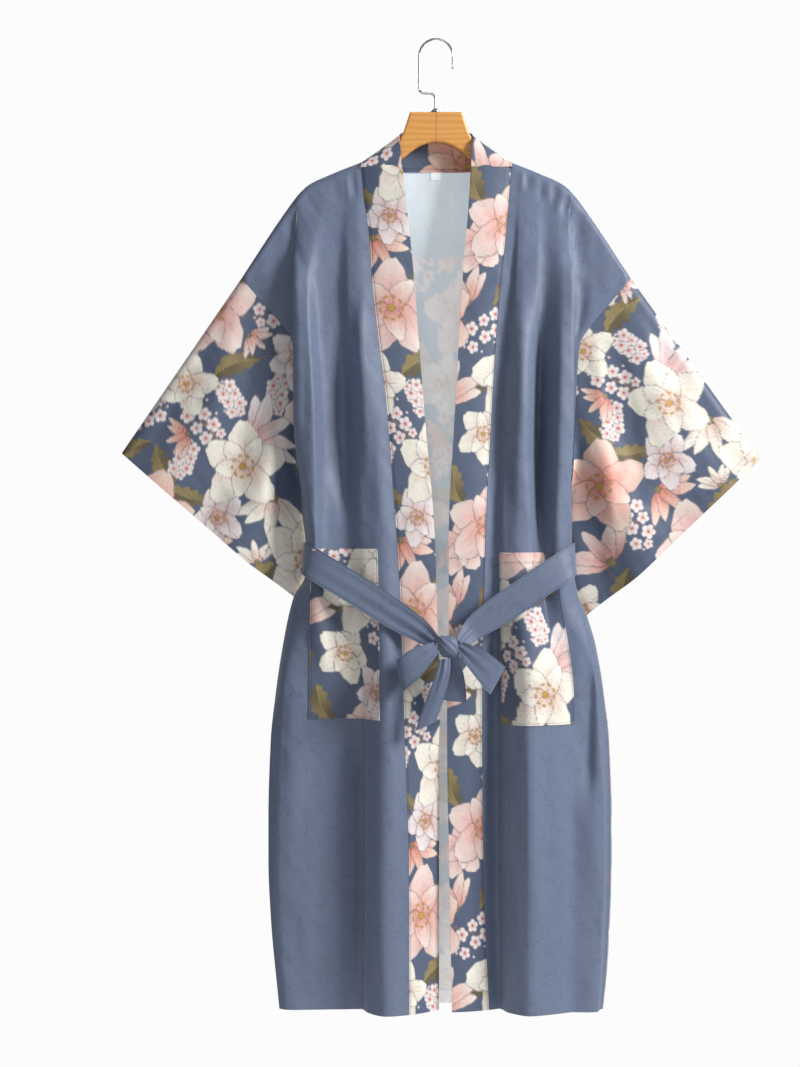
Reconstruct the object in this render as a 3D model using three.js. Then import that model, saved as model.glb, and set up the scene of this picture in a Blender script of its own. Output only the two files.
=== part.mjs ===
// A kimono robe with a tied belt, hanging flat on a wooden hanger.
// Millimetres, +Z up. The front of the robe faces -Y and its left, seen from the front, is -X.
// The origin is the inner top of the hook, where a rail holds it.
import * as THREE from 'three';

// Driving dimensions
const WALL = 1.5;
const GAP = 0.3;
const SEAM = GAP / 2;
const HEM_Z = -1286;
const SHOULDER_CORNER_Z = -317;
const ARMPIT_Z = -565;
const SLIT_TOP_Z = -870;
const NECK_CORNER_X = 96;
const NECK_CORNER_Z = -161;
const NECK_SEAM_Z = -171;
const NECK_SEAM_Y = 20;
const NECK_FALL = { start: 3, length: 30 };
const BAND_JOIN_Z = -170.6;
const SHOULDER_CAP = { depth: 9.5, reach: 10 };
const CAP_DROPS = [0, 1.2, 4, SHOULDER_CAP.reach];
const SHOULDER_SETTLE = 130;
const ARMHOLE_DEPTH = 12;
const SLEEVE_SEAM = 0.5;
const SLIT = { open: 9, ease: 60 };
const HANGER = { thickness: 12, bevel: 2.5, clearance: 4.4, tip_x: 176.5, tip_z: -207 };
const HOOK = { wire: 3.2, radius: 22.3, tip_drop: 18, leg: 43.3, jog_radius: 7, stem_x: -1, stem_end: -90.3 };
const FERRULE = { top_z: -90.6, base_z: -95.5, top_radius: 2.6, base_radius: 6.5 };
const BELT = { half_width: 20, centre_z: -689 };
const LABEL = { half_width: 6.2, height: 11.6, thickness: 0.8, drop: 0.6, clear: 0.1 };

// The outline of the shoulder, from the neck corner to the top of the sleeve seam, the same on both sides
const SHOULDER = [
  { x: 90, z: -158.5 },
  { x: 96, z: -161 },
  { x: 118, z: -169.5 },
  { x: 140, z: -178.5 },
  { x: 167, z: -191 },
  { x: 180, z: -202 },
  { x: 200, z: -228 },
  { x: 259, z: SHOULDER_CORNER_Z },
];

// Heights of the sections that carry the fold tables
const STATIONS = [-200, -330, -500, -690, -870, -1080, HEM_Z];

// Each side is given in outward distances from the middle plane. seam is the line between front panel
// and band, edge the free edge of the band, side the armhole, side seam and slit edge in turn.
// folds holds one row for each fold line, its distance out (x) and its depth to the front (y) at STATIONS.
const LEFT = {
  sign: -1,
  seam: [
    { z: -161, x: 100 }, { z: -170, x: 99.6 }, { z: -212, x: 96 }, { z: -262, x: 89 }, { z: -325, x: 85 },
    { z: -390, x: 78 }, { z: -468, x: 68 }, { z: -587, x: 58 }, { z: -743, x: 48 }, { z: -927, x: 42 },
    { z: -1090, x: 36.5 }, { z: HEM_Z, x: 36 },
  ],
  edge: [
    { z: -161, x: 46.3, y: 16 }, { z: -230, x: 38.5, y: 22 }, { z: -291, x: 32, y: 27 },
    { z: -354, x: 27, y: 31 }, { z: -500, x: 15.5, y: 34 }, { z: -665, x: 2, y: 38 },
    { z: -784, x: -1.5, y: 36 }, { z: -878, x: -5, y: 30 }, { z: -931, x: -4, y: 26 },
    { z: -1080, x: -3.6, y: 20 }, { z: HEM_Z, x: -3.6, y: 16 },
  ],
  side: [
    { z: SHOULDER_CORNER_Z, x: 259 }, { z: -345, x: 234.5 }, { z: -372, x: 211 }, { z: -397, x: 192.5 },
    { z: -430, x: 188 }, { z: -500, x: 184.5 }, { z: ARMPIT_Z, x: 181 }, { z: -680, x: 178 },
    { z: -712, x: 178.6 }, { z: -742, x: 188.5 }, { z: -806, x: 204 }, { z: SLIT_TOP_Z, x: 213.5 }, { z: -931, x: 219.5 },
    { z: -1031, x: 222.5 }, { z: -1091, x: 222.5 }, { z: -1162, x: 219.5 }, { z: HEM_Z, x: 208 },
  ],
  seamDepth: [12, 30, 38, 40, 46, 50, 50],
  folds: [
    { name: 'roll', x: [106, 103, 88, 70, 67, 66, 66], y: [16, 36, 46, 46, 58, 60, 60] },
    { name: 'step', x: [116, 115, 104, 92, 88, 89, 90], y: [14, 32, 36, 40, 40, 36, 36] },
    { name: 'valley', x: [124, 125, 120, 112, 100, 99, 100], y: [13, 27, 23, 34, 20, 14, 12] },
    { name: 'rise', x: [136, 140, 134, 130, 122, 126, 128], y: [14, 31, 26, 38, 22, 15, 14] },
    { name: 'brow', x: [152, 159, 150, 148, 148, 152, 154], y: [16, 39, 50, 42, 26, 19, 18] },
    { name: 'lip', x: [168, 178, 174, 163, 168, 172, 172], y: [16, 42, 51, 36, 31, 25, 22] },
    { name: 'fold', x: [184, 189, 188.5, 172.5, 188, 192, 186], y: [15, 35, 42, 26, 31, 28, 25] },
    { name: 'tuck', x: [193, 160, 166, 176.6, 201, 206, 197], y: [13, 25, 26, 16, 26, 23, 20] },
  ],
  underDepth: [12, 14, 13.5, 9, 16, 15, 14],
  cuff: { top_x: 418, top_z: -549, bottom_x: 194.5, bottom_z: -742 },
  backFlare: 0,
};
const RIGHT = {
  sign: 1,
  seam: [
    { z: -161, x: 100 }, { z: -170, x: 99.6 }, { z: -232, x: 95 }, { z: -323, x: 85.7 }, { z: -376, x: 80.5 },
    { z: -500, x: 73 }, { z: -684, x: 63.9 }, { z: -868, x: 60.9 }, { z: -927, x: 60.9 },
    { z: -1125, x: 63.2 }, { z: HEM_Z, x: 70.3 },
  ],
  edge: [
    { z: -161, x: 46.3, y: 16 }, { z: -230, x: 42, y: 21 }, { z: -285, x: 37, y: 24 },
    { z: -338, x: 33.5, y: 27 }, { z: -500, x: 24, y: 34 }, { z: -665, x: 16, y: 38 },
    { z: -784, x: 16, y: 36 }, { z: -878, x: 14, y: 34 }, { z: -931, x: 14, y: 33 },
    { z: -1080, x: 16.5, y: 33 }, { z: HEM_Z, x: 20.6, y: 33 },
  ],
  side: [
    { z: SHOULDER_CORNER_Z, x: 259 }, { z: -345, x: 235.5 }, { z: -375, x: 210 }, { z: -405, x: 190.5 },
    { z: -440, x: 187 }, { z: -500, x: 184 }, { z: ARMPIT_Z, x: 181 }, { z: -680, x: 181 },
    { z: -714, x: 181.8 }, { z: -768, x: 201.5 }, { z: -804, x: 212 }, { z: SLIT_TOP_Z, x: 223 }, { z: -931, x: 228.5 },
    { z: -1031, x: 231.5 }, { z: -1091, x: 231.5 }, { z: -1212, x: 227 }, { z: HEM_Z, x: 221 },
  ],
  seamDepth: [12, 22, 25, 32, 24, 20, 18],
  folds: [
    { name: 'strip', x: [106, 99, 84, 78, 79, 80, 84], y: [13, 21, 22, 31, 16, 13, 12] },
    { name: 'foot', x: [113, 108, 100, 92, 97, 98, 100], y: [15, 30, 32, 37, 34, 36, 36] },
    { name: 'crest', x: [122, 120, 119, 112, 128, 129, 130], y: [18, 43, 50, 44, 59, 60, 58] },
    { name: 'drop', x: [134, 135, 133, 128, 148, 150, 150], y: [16, 36, 38, 40, 50, 52, 50] },
    { name: 'valley', x: [146, 148, 144, 143, 164, 166, 166], y: [14, 28, 15, 36, 42, 46, 44] },
    { name: 'ridge', x: [160, 167, 163, 161, 180, 184, 182], y: [16, 41, 46, 37.5, 33, 37, 40] },
    { name: 'fold', x: [174, 181, 180, 174.5, 199, 206, 200], y: [15, 37, 42, 27, 25, 26, 30] },
    { name: 'tuck', x: [186, 153, 160, 179.2, 211, 220, 212], y: [13, 25, 26, 16, 22, 20, 22] },
  ],
  underDepth: [12, 14, 13.5, 9, 15, 14, 15],
  cuff: { top_x: 431, top_z: -556, bottom_x: 209.5, bottom_z: -767 },
  backFlare: 3,
};

// The back panel: one row for each fold line, its share of the way to the side and its depth at STATIONS
const BACK_FOLDS = [
  { share: -0.94, depth: [12, 14, 12, 9, 14, 16, 16] },
  { share: -0.8, depth: [14, 21, 25, 15, 24, 32, 32] },
  { share: -0.62, depth: [16, 25, 20, 20, 30, 20, 20] },
  { share: -0.44, depth: [17, 28, 33, 24, 23, 37, 39] },
  { share: -0.27, depth: [18, 27, 25, 24, 34, 26, 25] },
  { share: -0.09, depth: [20, 28, 30, 24, 30, 34, 35] },
  { share: 0.1, depth: [20, 27, 26, 24, 26, 26, 27] },
  { share: 0.28, depth: [18, 28, 31, 24, 34, 37, 37] },
  { share: 0.46, depth: [17, 26, 22, 23, 24, 24, 23] },
  { share: 0.63, depth: [16, 25, 27, 20, 31, 34, 36] },
  { share: 0.8, depth: [14, 20, 19, 15, 22, 24, 23] },
  { share: 0.94, depth: [12, 14, 12, 9, 14, 17, 18] },
];

// Soft folds of a sleeve: across is the share of the way from its top edge to its underarm
const SLEEVE_FOLDS = [
  { across: 0.2, width: 0.1, depth: 3.5 },
  { across: 0.45, width: 0.12, depth: -4 },
  { across: 0.68, width: 0.1, depth: 4.5 },
  { across: 0.86, width: 0.07, depth: -3 },
];

// The neck band, from its join with a front band over the shoulder to the middle of the back.
// seam_* is its sewn edge, free_* its standing edge; the other half mirrors it.
const NECK_BAND = [
  { seam_x: 99.2, seam_y: -12.3, seam_z: -170.2, free_x: 46.3, free_y: -16.2, free_z: -170.2 },
  { seam_x: 98.6, seam_y: -10.6, seam_z: -166, free_x: 46.9, free_y: -15.8, free_z: -152 },
  { seam_x: 97.2, seam_y: -6.5, seam_z: -161.6, free_x: 48, free_y: -13.6, free_z: -139 },
  { seam_x: 95.2, seam_y: 0, seam_z: -159.8, free_x: 49.5, free_y: -4, free_z: -128.4 },
  { seam_x: 93, seam_y: 5.2, seam_z: -160.3, free_x: 48.5, free_y: 6, free_z: -124.5 },
  { seam_x: 86, seam_y: 11, seam_z: -162.8, free_x: 45.5, free_y: 12.8, free_z: -121 },
  { seam_x: 70, seam_y: 16.2, seam_z: -167.6, free_x: 38, free_y: 16.2, free_z: -119.4 },
  { seam_x: 45, seam_y: 19.2, seam_z: -170.3, free_x: 24, free_y: 18.2, free_z: -119 },
  { seam_x: 22, seam_y: 19.9, seam_z: -170.6, free_x: 12, free_y: 18.9, free_z: -119 },
  { seam_x: 0, seam_y: 20, seam_z: -170.6, free_x: 0, free_y: 19, free_z: -119 },
];

// Pockets: mouth and bottom, and the first and last column of the front panel that they cover
const POCKETS = {
  left: { top_z: -676, bottom_z: -900, first: 4, last: 16 },
  right: { top_z: -681, bottom_z: -907, first: 5, last: 16 },
};

// The front stretches of the belt, from the side to the knot, along the middle of the belt.
// lean turns its width towards the middle, keep is the share of the width left where it is gathered.
const BELT_LEFT = [
  { x: -181.4, y: -0.2, z: -688, lean: 0, keep: 1 },
  { x: -181.3, y: -11, z: -688, lean: 0.02, keep: 1 },
  { x: -180.3, y: -25, z: -688.5, lean: 0.1, keep: 1 },
  { x: -175.6, y: -38, z: -690, lean: 0.24, keep: 1 },
  { x: -165, y: -46, z: -695.5, lean: 0.4, keep: 1 },
  { x: -140, y: -51.5, z: -709, lean: 0.52, keep: 1 },
  { x: -100, y: -54, z: -733, lean: 0.55, keep: 0.99 },
  { x: -58, y: -57, z: -760, lean: 0.57, keep: 0.95 },
  { x: -22, y: -61, z: -783, lean: 0.6, keep: 0.75 },
  { x: -1, y: -74.5, z: -798.5, lean: 0.6, keep: 0.4 },
];
const BELT_RIGHT = [
  { x: 184.6, y: -0.2, z: -688, lean: 0, keep: 1 },
  { x: 184.5, y: -11, z: -688, lean: 0.02, keep: 1 },
  { x: 183.2, y: -25, z: -689, lean: 0.1, keep: 1 },
  { x: 178.4, y: -38, z: -692, lean: 0.24, keep: 1 },
  { x: 168, y: -46.5, z: -699, lean: 0.4, keep: 1 },
  { x: 144, y: -53, z: -714, lean: 0.5, keep: 1 },
  { x: 112, y: -56, z: -736, lean: 0.56, keep: 0.99 },
  { x: 78, y: -58, z: -759, lean: 0.6, keep: 0.95 },
  { x: 48, y: -61.5, z: -780, lean: 0.6, keep: 0.75 },
  { x: 29.9, y: -74.5, z: -798, lean: 0.55, keep: 0.42 },
];

// The bow: each row is a station along the cloth. half is half the width there, lean turns the width
// from upright towards the right, both as seen from the front.
const BOW_LOOP_LEFT = [
  { x: -0.5, y: -86, z: -802, half: 7, lean: -0.6 },
  { x: -14, y: -91, z: -812, half: 13, lean: -0.52 },
  { x: -32, y: -93, z: -826, half: 19, lean: -0.35 },
  { x: -45, y: -90, z: -837, half: 20.5, lean: -0.2 },
  { x: -49, y: -83.5, z: -840.5, half: 20.8, lean: -0.2 },
  { x: -43, y: -78.5, z: -837, half: 20, lean: -0.22 },
  { x: -28, y: -76.5, z: -825, half: 17.5, lean: -0.38 },
  { x: -13, y: -75.5, z: -812, half: 12, lean: -0.52 },
  { x: -2.5, y: -76, z: -804, half: 6.5, lean: -0.6 },
];
const BOW_LOOP_RIGHT = [
  { x: 29.5, y: -86, z: -802, half: 7, lean: 0.55 },
  { x: 42, y: -91, z: -812, half: 12.5, lean: 0.55 },
  { x: 57, y: -93, z: -825, half: 17.5, lean: 0.52 },
  { x: 73, y: -90, z: -841, half: 20, lean: 0.5 },
  { x: 79, y: -83.5, z: -846.5, half: 20.3, lean: 0.5 },
  { x: 72, y: -78.5, z: -840, half: 19.5, lean: 0.5 },
  { x: 56, y: -76.5, z: -825, half: 16.5, lean: 0.52 },
  { x: 42, y: -75.5, z: -813, half: 12, lean: 0.55 },
  { x: 32, y: -76, z: -804, half: 6.5, lean: 0.55 },
];
const BOW_TAIL_LEFT = [
  { x: 10, y: -84, z: -818, half: 7.5, turn: -0.12 },
  { x: 7.5, y: -86, z: -836, half: 10, turn: -0.2 },
  { x: 2, y: -84, z: -856, half: 12, turn: -0.26 },
  { x: -6, y: -81, z: -880, half: 13.5, turn: -0.32 },
  { x: -15, y: -79, z: -906, half: 14.5, turn: -0.4 },
];
const BOW_TAIL_RIGHT = [
  { x: 19.5, y: -76, z: -818.6, half: 8, turn: 0.04 },
  { x: 20.4, y: -74, z: -837, half: 14, turn: 0.06 },
  { x: 21.5, y: -72.5, z: -856, half: 16, turn: 0.08 },
  { x: 22, y: -70, z: -874, half: 16.5, turn: 0.12 },
];
const KNOT = { x: 14.6, y: -78, z: -802.5, half_width: 14.6, half_depth: 11.5, half_height: 16, wraps: 3, groove: 1.3 };
const KNOT_SHAPE = { square_across: 0.8, square_up: 0.85, slant: { across: 0.8, up: 0.6 } };

// Smooth step from 0 to 1
function ease(t) {
  const k = Math.min(1, Math.max(0, t));
  return k * k * (3 - 2 * k);
}

// Quarter round: 0 at the edge, 1 once the distance from it reaches 1
function quarterRound(t) {
  const k = Math.min(1, Math.max(0, t));
  return Math.sqrt(1 - (1 - k) ** 2);
}

// A smooth curve through values that never swings past them
function curveThrough(places, values) {
  const flip = places[0] > places[places.length - 1];
  const at = flip ? [...places].reverse() : places;
  const value = flip ? [...values].reverse() : values;
  const count = at.length;
  const rise = at.slice(1).map((a, i) => (value[i + 1] - value[i]) / (a - at[i]));
  const slope = at.map((_, i) => {
    if (i === 0) return rise[0];
    if (i === count - 1) return rise[count - 2];
    if (rise[i - 1] * rise[i] <= 0) return 0;
    return (2 * rise[i - 1] * rise[i]) / (rise[i - 1] + rise[i]);
  });
  return (t) => {
    if (t <= at[0]) return value[0];
    if (t >= at[count - 1]) return value[count - 1];
    let i = 0;
    while (t > at[i + 1]) i += 1;
    const step = at[i + 1] - at[i];
    const k = (t - at[i]) / step;
    const lift = (1 - k) ** 2;
    return (1 + 2 * k) * lift * value[i] + k * lift * step * slope[i]
      + k * k * (3 - 2 * k) * value[i + 1] - k * k * (1 - k) * step * slope[i + 1];
  };
}

const lineOf = (rows, key) => curveThrough(rows.map((row) => row.z), rows.map((row) => row[key]));
const shoulderZ = curveThrough(SHOULDER.map((row) => row.x), SHOULDER.map((row) => row.z));
const steps = (count) => Array.from({ length: count + 1 }, (_, i) => i / count);

// The faces of a closed cloth wall between two grids of points, or of a tube when ring is true
function wallGeometry(outer, inner, ring = false) {
  const rows = outer.length;
  const cols = outer[0].length;
  const points = [...outer.flat(), ...inner.flat()];
  const faces = [];
  const quad = (a, b, c, d) => faces.push(a, b, c, a, c, d);
  const out = (r, c) => r * cols + (c % cols);
  const inn = (r, c) => rows * cols + out(r, c);
  const lastCol = ring ? cols : cols - 1;
  for (let r = 0; r < rows - 1; r += 1) {
    for (let c = 0; c < lastCol; c += 1) {
      quad(out(r, c), out(r + 1, c), out(r + 1, c + 1), out(r, c + 1));
      quad(inn(r, c), inn(r, c + 1), inn(r + 1, c + 1), inn(r + 1, c));
    }
  }
  for (let c = 0; c < lastCol; c += 1) {
    quad(out(0, c), out(0, c + 1), inn(0, c + 1), inn(0, c));
    quad(out(rows - 1, c), inn(rows - 1, c), inn(rows - 1, c + 1), out(rows - 1, c + 1));
  }
  if (!ring) {
    for (let r = 0; r < rows - 1; r += 1) {
      quad(out(r, 0), inn(r, 0), inn(r + 1, 0), out(r + 1, 0));
      quad(out(r, cols - 1), out(r + 1, cols - 1), inn(r + 1, cols - 1), inn(r, cols - 1));
    }
  }
  const geometry = new THREE.BufferGeometry();
  const turned = signedVolume(points, faces) < 0;
  if (turned) faces.reverse();
  geometry.setAttribute('position', new THREE.Float32BufferAttribute(points.flatMap((p) => [p.x, p.y, p.z]), 3));
  geometry.setIndex(faces);
  geometry.computeVertexNormals();
  return geometry;
}

// Six times the volume inside a closed mesh, negative when its faces point in
function signedVolume(points, faces) {
  let total = 0;
  for (let i = 0; i < faces.length; i += 3) {
    const [a, b, c] = [points[faces[i]], points[faces[i + 1]], points[faces[i + 2]]];
    total += a.dot(new THREE.Vector3().crossVectors(b, c));
  }
  return total;
}

// The direction square to a surface, from points a small step apart
function normalOf(surface, u, v, towards) {
  const h = 1e-3;
  const du = surface(Math.min(1, u + h), v).sub(surface(Math.max(0, u - h), v));
  const dv = surface(u, Math.min(1, v + h)).sub(surface(u, Math.max(0, v - h)));
  const normal = du.cross(dv).normalize();
  return towards(normal) < 0 ? normal.negate() : normal;
}

// Column places between knots, with a count for each stretch
function columnsOver(knots, counts) {
  const places = counts.flatMap((count, i) => steps(count).slice(1).map((k) => knots[i] + (knots[i + 1] - knots[i]) * k));
  return [knots[0], ...places];
}

// Heights of the rows of a panel: close together over the shoulder and at the armpit
function rowHeights(top) {
  const ends = [...CAP_DROPS].reverse();
  const upper = steps(7).slice(1, -1).map((k) => {
    const from = top - SHOULDER_CAP.reach;
    return from + (ARMPIT_Z + ends[0] - from) * k;
  });
  const waist = steps(6).slice(1).map((k) => ARMPIT_Z + (SLIT_TOP_Z - ARMPIT_Z) * k);
  const skirt = steps(4).slice(1).map((k) => SLIT_TOP_Z + (HEM_Z - SLIT_TOP_Z) * k);
  return [...CAP_DROPS.map((d) => top - d), ...upper, ...ends.map((e) => ARMPIT_Z + e), ...waist, ...skirt];
}
const ARMPIT_ROW = 13;

// Columns for each stretch between fold lines
const FRONT_COLUMNS = [3, 3, 2, 2, 3, 3, 3, 3, 3, 2];
const BACK_FLANK = 0.22;

// Depth of the outermost fold line: armhole, closed side seam, open slit
function sideDepth(z) {
  if (z >= ARMPIT_Z) return ARMHOLE_DEPTH * quarterRound((z - ARMPIT_Z) / SHOULDER_CAP.reach);
  return SLIT.open * ease((SLIT_TOP_Z - z) / SLIT.ease);
}

// How far a point stands off the shoulder line, given its drop below it and its full depth
function settledDepth(drop, depth, start = 0) {
  const cap = start + (SHOULDER_CAP.depth - start) * quarterRound(drop / SHOULDER_CAP.reach);
  return cap + (depth - SHOULDER_CAP.depth) * ease(drop / SHOULDER_SETTLE);
}

// The front panel of one side as a surface over u (band seam to side) and a height z
function frontPanel(side) {
  const seamX = lineOf(side.seam, 'x');
  const sideX = lineOf(side.side, 'x');
  const seamY = curveThrough(STATIONS, side.seamDepth);
  const underY = curveThrough(STATIONS, side.underDepth);
  const folds = side.folds.map((fold) => ({ x: curveThrough(STATIONS, fold.x), y: curveThrough(STATIONS, fold.y) }));
  const knots = steps(folds.length + 2);
  const UNDER_SHARE = 0.55;
  const ROUNDS = 8;

  function section(z) {
    const xs = [seamX(z), ...folds.map((fold) => fold.x(z))];
    const ys = [seamY(z), ...folds.map((fold) => fold.y(z))];
    const outer = sideX(z);
    xs.push(xs[xs.length - 1] + UNDER_SHARE * (outer - xs[xs.length - 1]), outer);
    ys.push(underY(z), sideDepth(z));
    return { x: curveThrough(knots, xs), y: curveThrough(knots, ys) };
  }
  // Where a column meets the shoulder line, found by going to and fro between the two
  function topOf(u) {
    let z = STATIONS[0];
    for (let i = 0; i < ROUNDS; i += 1) z = shoulderZ(section(z).x(u));
    return z;
  }
  function point(u, z, top = topOf(u)) {
    const plan = section(z);
    const depth = settledDepth(top - z, plan.y(u));
    return new THREE.Vector3(side.sign * plan.x(u), -SEAM - depth, z);
  }
  // Direction square to the cloth, towards the front or the side
  function normal(u, z) {
    const h = 2e-3;
    const drop = 0.4;
    const top = topOf(u);
    const upper = Math.min(top, z + drop);
    const across = point(Math.min(1, u + h), Math.min(z, topOf(Math.min(1, u + h))))
      .sub(point(Math.max(0, u - h), Math.min(z, topOf(Math.max(0, u - h)))));
    const down = point(u, z - drop, top).sub(point(u, upper, top));
    return across.cross(down).multiplyScalar(-side.sign).normalize();
  }
  return { point, topOf, normal, knots };
}

// Outer and inner grids of a front panel. Rows run down, columns from the band seam to the side.
function frontGrids(panel, side) {
  const cols = columnsOver(panel.knots, FRONT_COLUMNS);
  const tops = cols.map((u) => panel.topOf(u));
  const heights = tops.map((top) => rowHeights(top));
  const outer = heights[0].map((_, r) => cols.map((u, c) => panel.point(u, heights[c][r], tops[c])));
  const inner = outer.map((row, r) => row.map((p, c) => {
    const z = heights[c][r];
    const n = panel.normal(cols[c], z);
    if (r === 0) n.setY(0).normalize();
    if (c === 0 && z < BAND_JOIN_Z) n.set(0, -1, 0);
    const onSideSeam = c === row.length - 1 && z <= ARMPIT_Z && z >= SLIT_TOP_Z;
    if (onSideSeam) n.set(side.sign, 0, 0);
    return p.clone().addScaledVector(n, -WALL);
  }));
  return { outer, inner, cols, heights: heights[0] };
}

// The back panel as a surface over share (-1 left side, 1 right side) and a height z
function backPanel() {
  const leftX = lineOf(LEFT.side, 'x');
  const rightX = lineOf(RIGHT.side, 'x');
  const shares = [-1, ...BACK_FOLDS.map((fold) => fold.share), 1];
  const depths = BACK_FOLDS.map((fold) => curveThrough(STATIONS, fold.depth));

  function width(share, z) {
    const side = share < 0 ? LEFT : RIGHT;
    const flare = side.backFlare * ease((SLIT_TOP_Z - z) / SLIT.ease);
    return (share < 0 ? leftX(z) : rightX(z)) + flare;
  }
  // How far the neck seam lies behind the shoulder line, 0 beyond the neck corner
  function neckY(x) {
    const k = Math.min(1, Math.abs(x) / NECK_CORNER_X);
    return NECK_SEAM_Y * Math.sqrt(1 - k ** 4);
  }
  // The shoulder line beyond the neck corners, the neck seam between them
  function topOf(share) {
    const away = Math.abs(share * width(share, STATIONS[0]));
    if (away >= NECK_CORNER_X) return shoulderZ(away);
    const fallen = ease((NECK_CORNER_X - NECK_FALL.start - away) / NECK_FALL.length);
    return NECK_CORNER_Z - (NECK_CORNER_Z - NECK_SEAM_Z) * fallen;
  }
  function point(share, z, top = topOf(share)) {
    const x = share * width(share, z);
    const side = sideDepth(z);
    const depth = curveThrough(shares, [side, ...depths.map((d) => d(z)), side])(share);
    const start = neckY(share * width(share, top));
    const flat = start / NECK_SEAM_Y;
    const rest = settledDepth(top - z, depth);
    const stand = start + (depth - start) * ease((top - z) / SHOULDER_SETTLE);
    return new THREE.Vector3(x, SEAM + rest * (1 - flat) + stand * flat, z);
  }
  function normal(share, z) {
    const h = 1e-3;
    const drop = 0.4;
    const top = topOf(share);
    const right = Math.min(1, share + h);
    const left = Math.max(-1, share - h);
    const across = point(right, Math.min(z, topOf(right))).sub(point(left, Math.min(z, topOf(left))));
    const down = point(share, z - drop, top).sub(point(share, Math.min(top, z + drop), top));
    return down.cross(across).normalize().negate();
  }
  return { shares, point, topOf, normal, width };
}

function backGrids(panel) {
  // Two columns flank each fold line, so that its crest or valley comes out rounded
  const between = panel.shares.slice(1).flatMap((share, i) => {
    const from = panel.shares[i];
    return [from + (share - from) * BACK_FLANK, share - (share - from) * BACK_FLANK];
  });
  const cols = [-1, ...between, 1];
  const tops = cols.map((share) => panel.topOf(share));
  const heights = tops.map((top) => rowHeights(top));
  const outer = heights[0].map((_, r) => cols.map((share, c) => panel.point(share, heights[c][r], tops[c])));
  const inner = outer.map((row, r) => row.map((p, c) => {
    const z = heights[c][r];
    const n = panel.normal(cols[c], z);
    const edge = c === 0 || c === row.length - 1;
    if (r === 0 && Math.abs(p.x) >= NECK_CORNER_X) n.setY(0).normalize();
    if (edge && z <= ARMPIT_Z && z >= SLIT_TOP_Z) n.set(Math.sign(p.x), 0, 0);
    return p.clone().addScaledVector(n, -WALL);
  }));
  return { outer, inner, cols, heights: heights[0] };
}

// The rim of an armhole, outer and inner points from top to armpit, moved out by the seam gap
function armholeRim(cloth, col, side) {
  const rows = cloth.outer.slice(0, ARMPIT_ROW + 1);
  return rows.map((row, i) => {
    const before = rows[Math.max(0, i - 1)][col];
    const after = rows[Math.min(ARMPIT_ROW, i + 1)][col];
    const line = new THREE.Vector2(after.x - before.x, after.z - before.z).normalize().multiplyScalar(SLEEVE_SEAM);
    const away = new THREE.Vector3(side.sign * Math.abs(line.y), 0, side.sign * line.x);
    return { outer: row[col].clone().add(away), inner: cloth.inner[i][col].clone().add(away) };
  });
}

// A sleeve: rings from the armhole to the cuff, front half from top to armpit and back half up again
function sleeveGrids(side, frontRim, backRim) {
  const { cuff } = side;
  const cuffLength = Math.hypot(cuff.top_x - cuff.bottom_x, cuff.top_z - cuff.bottom_z);
  const { reach } = SHOULDER_CAP;
  const middle = steps(7).slice(1, -1).map((k) => reach + (cuffLength - 2 * reach) * k);
  const along = [...CAP_DROPS, ...middle, ...CAP_DROPS.map((d) => cuffLength - d).reverse()];
  const RINGS = 8;
  const CUFF_LENS = 10;
  const SWELL = 3;
  const FOLD_SWELL = 0.6;
  const FOLD_FADE = 30;
  const BACK_SHIFT = 1.06;
  const lastTied = ARMPIT_ROW - CAP_DROPS.length;

  // One point of the ring at share w of the way to the cuff; face is -1 in front and 1 behind
  function ringPoint(start, i, face, w) {
    const share = along[i] / cuffLength;
    const fromEnd = Math.min(along[i], cuffLength - along[i]);
    const lens = SHOULDER_CAP.depth * quarterRound(fromEnd / reach);
    const folds = SLEEVE_FOLDS.reduce((sum, fold) => {
      const off = (share - fold.across * (face < 0 ? 1 : BACK_SHIFT)) / fold.width;
      return sum + fold.depth * Math.exp(-off * off) * ease(fromEnd / FOLD_FADE);
    }, 0);
    const end = new THREE.Vector3(
      side.sign * (cuff.top_x + (cuff.bottom_x - cuff.top_x) * share),
      face * (SEAM + lens + CUFF_LENS * Math.sin(Math.PI * share) + folds),
      cuff.top_z + (cuff.bottom_z - cuff.top_z) * share,
    );
    const swell = (SWELL * Math.sin(Math.PI * share) + folds * FOLD_SWELL) * Math.sin(Math.PI * w);
    return start.clone().lerp(end, w).add(new THREE.Vector3(0, face * swell, 0));
  }
  const starts = [
    ...frontRim.map((rim, i) => ({ ...rim, i, face: -1 })),
    ...backRim.map((rim, i) => ({ ...rim, i, face: 1 })).reverse(),
  ];
  const outer = steps(RINGS).map((w) => starts.map((start) => ringPoint(start.outer, start.i, start.face, w)));
  const inner = outer.map((row, r) => row.map((p, c) => {
    if (r === 0 && starts[c].i <= lastTied) return starts[c].inner;
    const count = row.length;
    const around = row[(c + 1) % count].clone().sub(row[(c + count - 1) % count]);
    const down = outer[Math.min(outer.length - 1, r + 1)][c].clone().sub(outer[Math.max(0, r - 1)][c]);
    const n = around.cross(down).normalize().multiplyScalar(side.sign);
    return p.clone().addScaledVector(n, -WALL);
  }));
  return { outer, inner };
}

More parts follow.
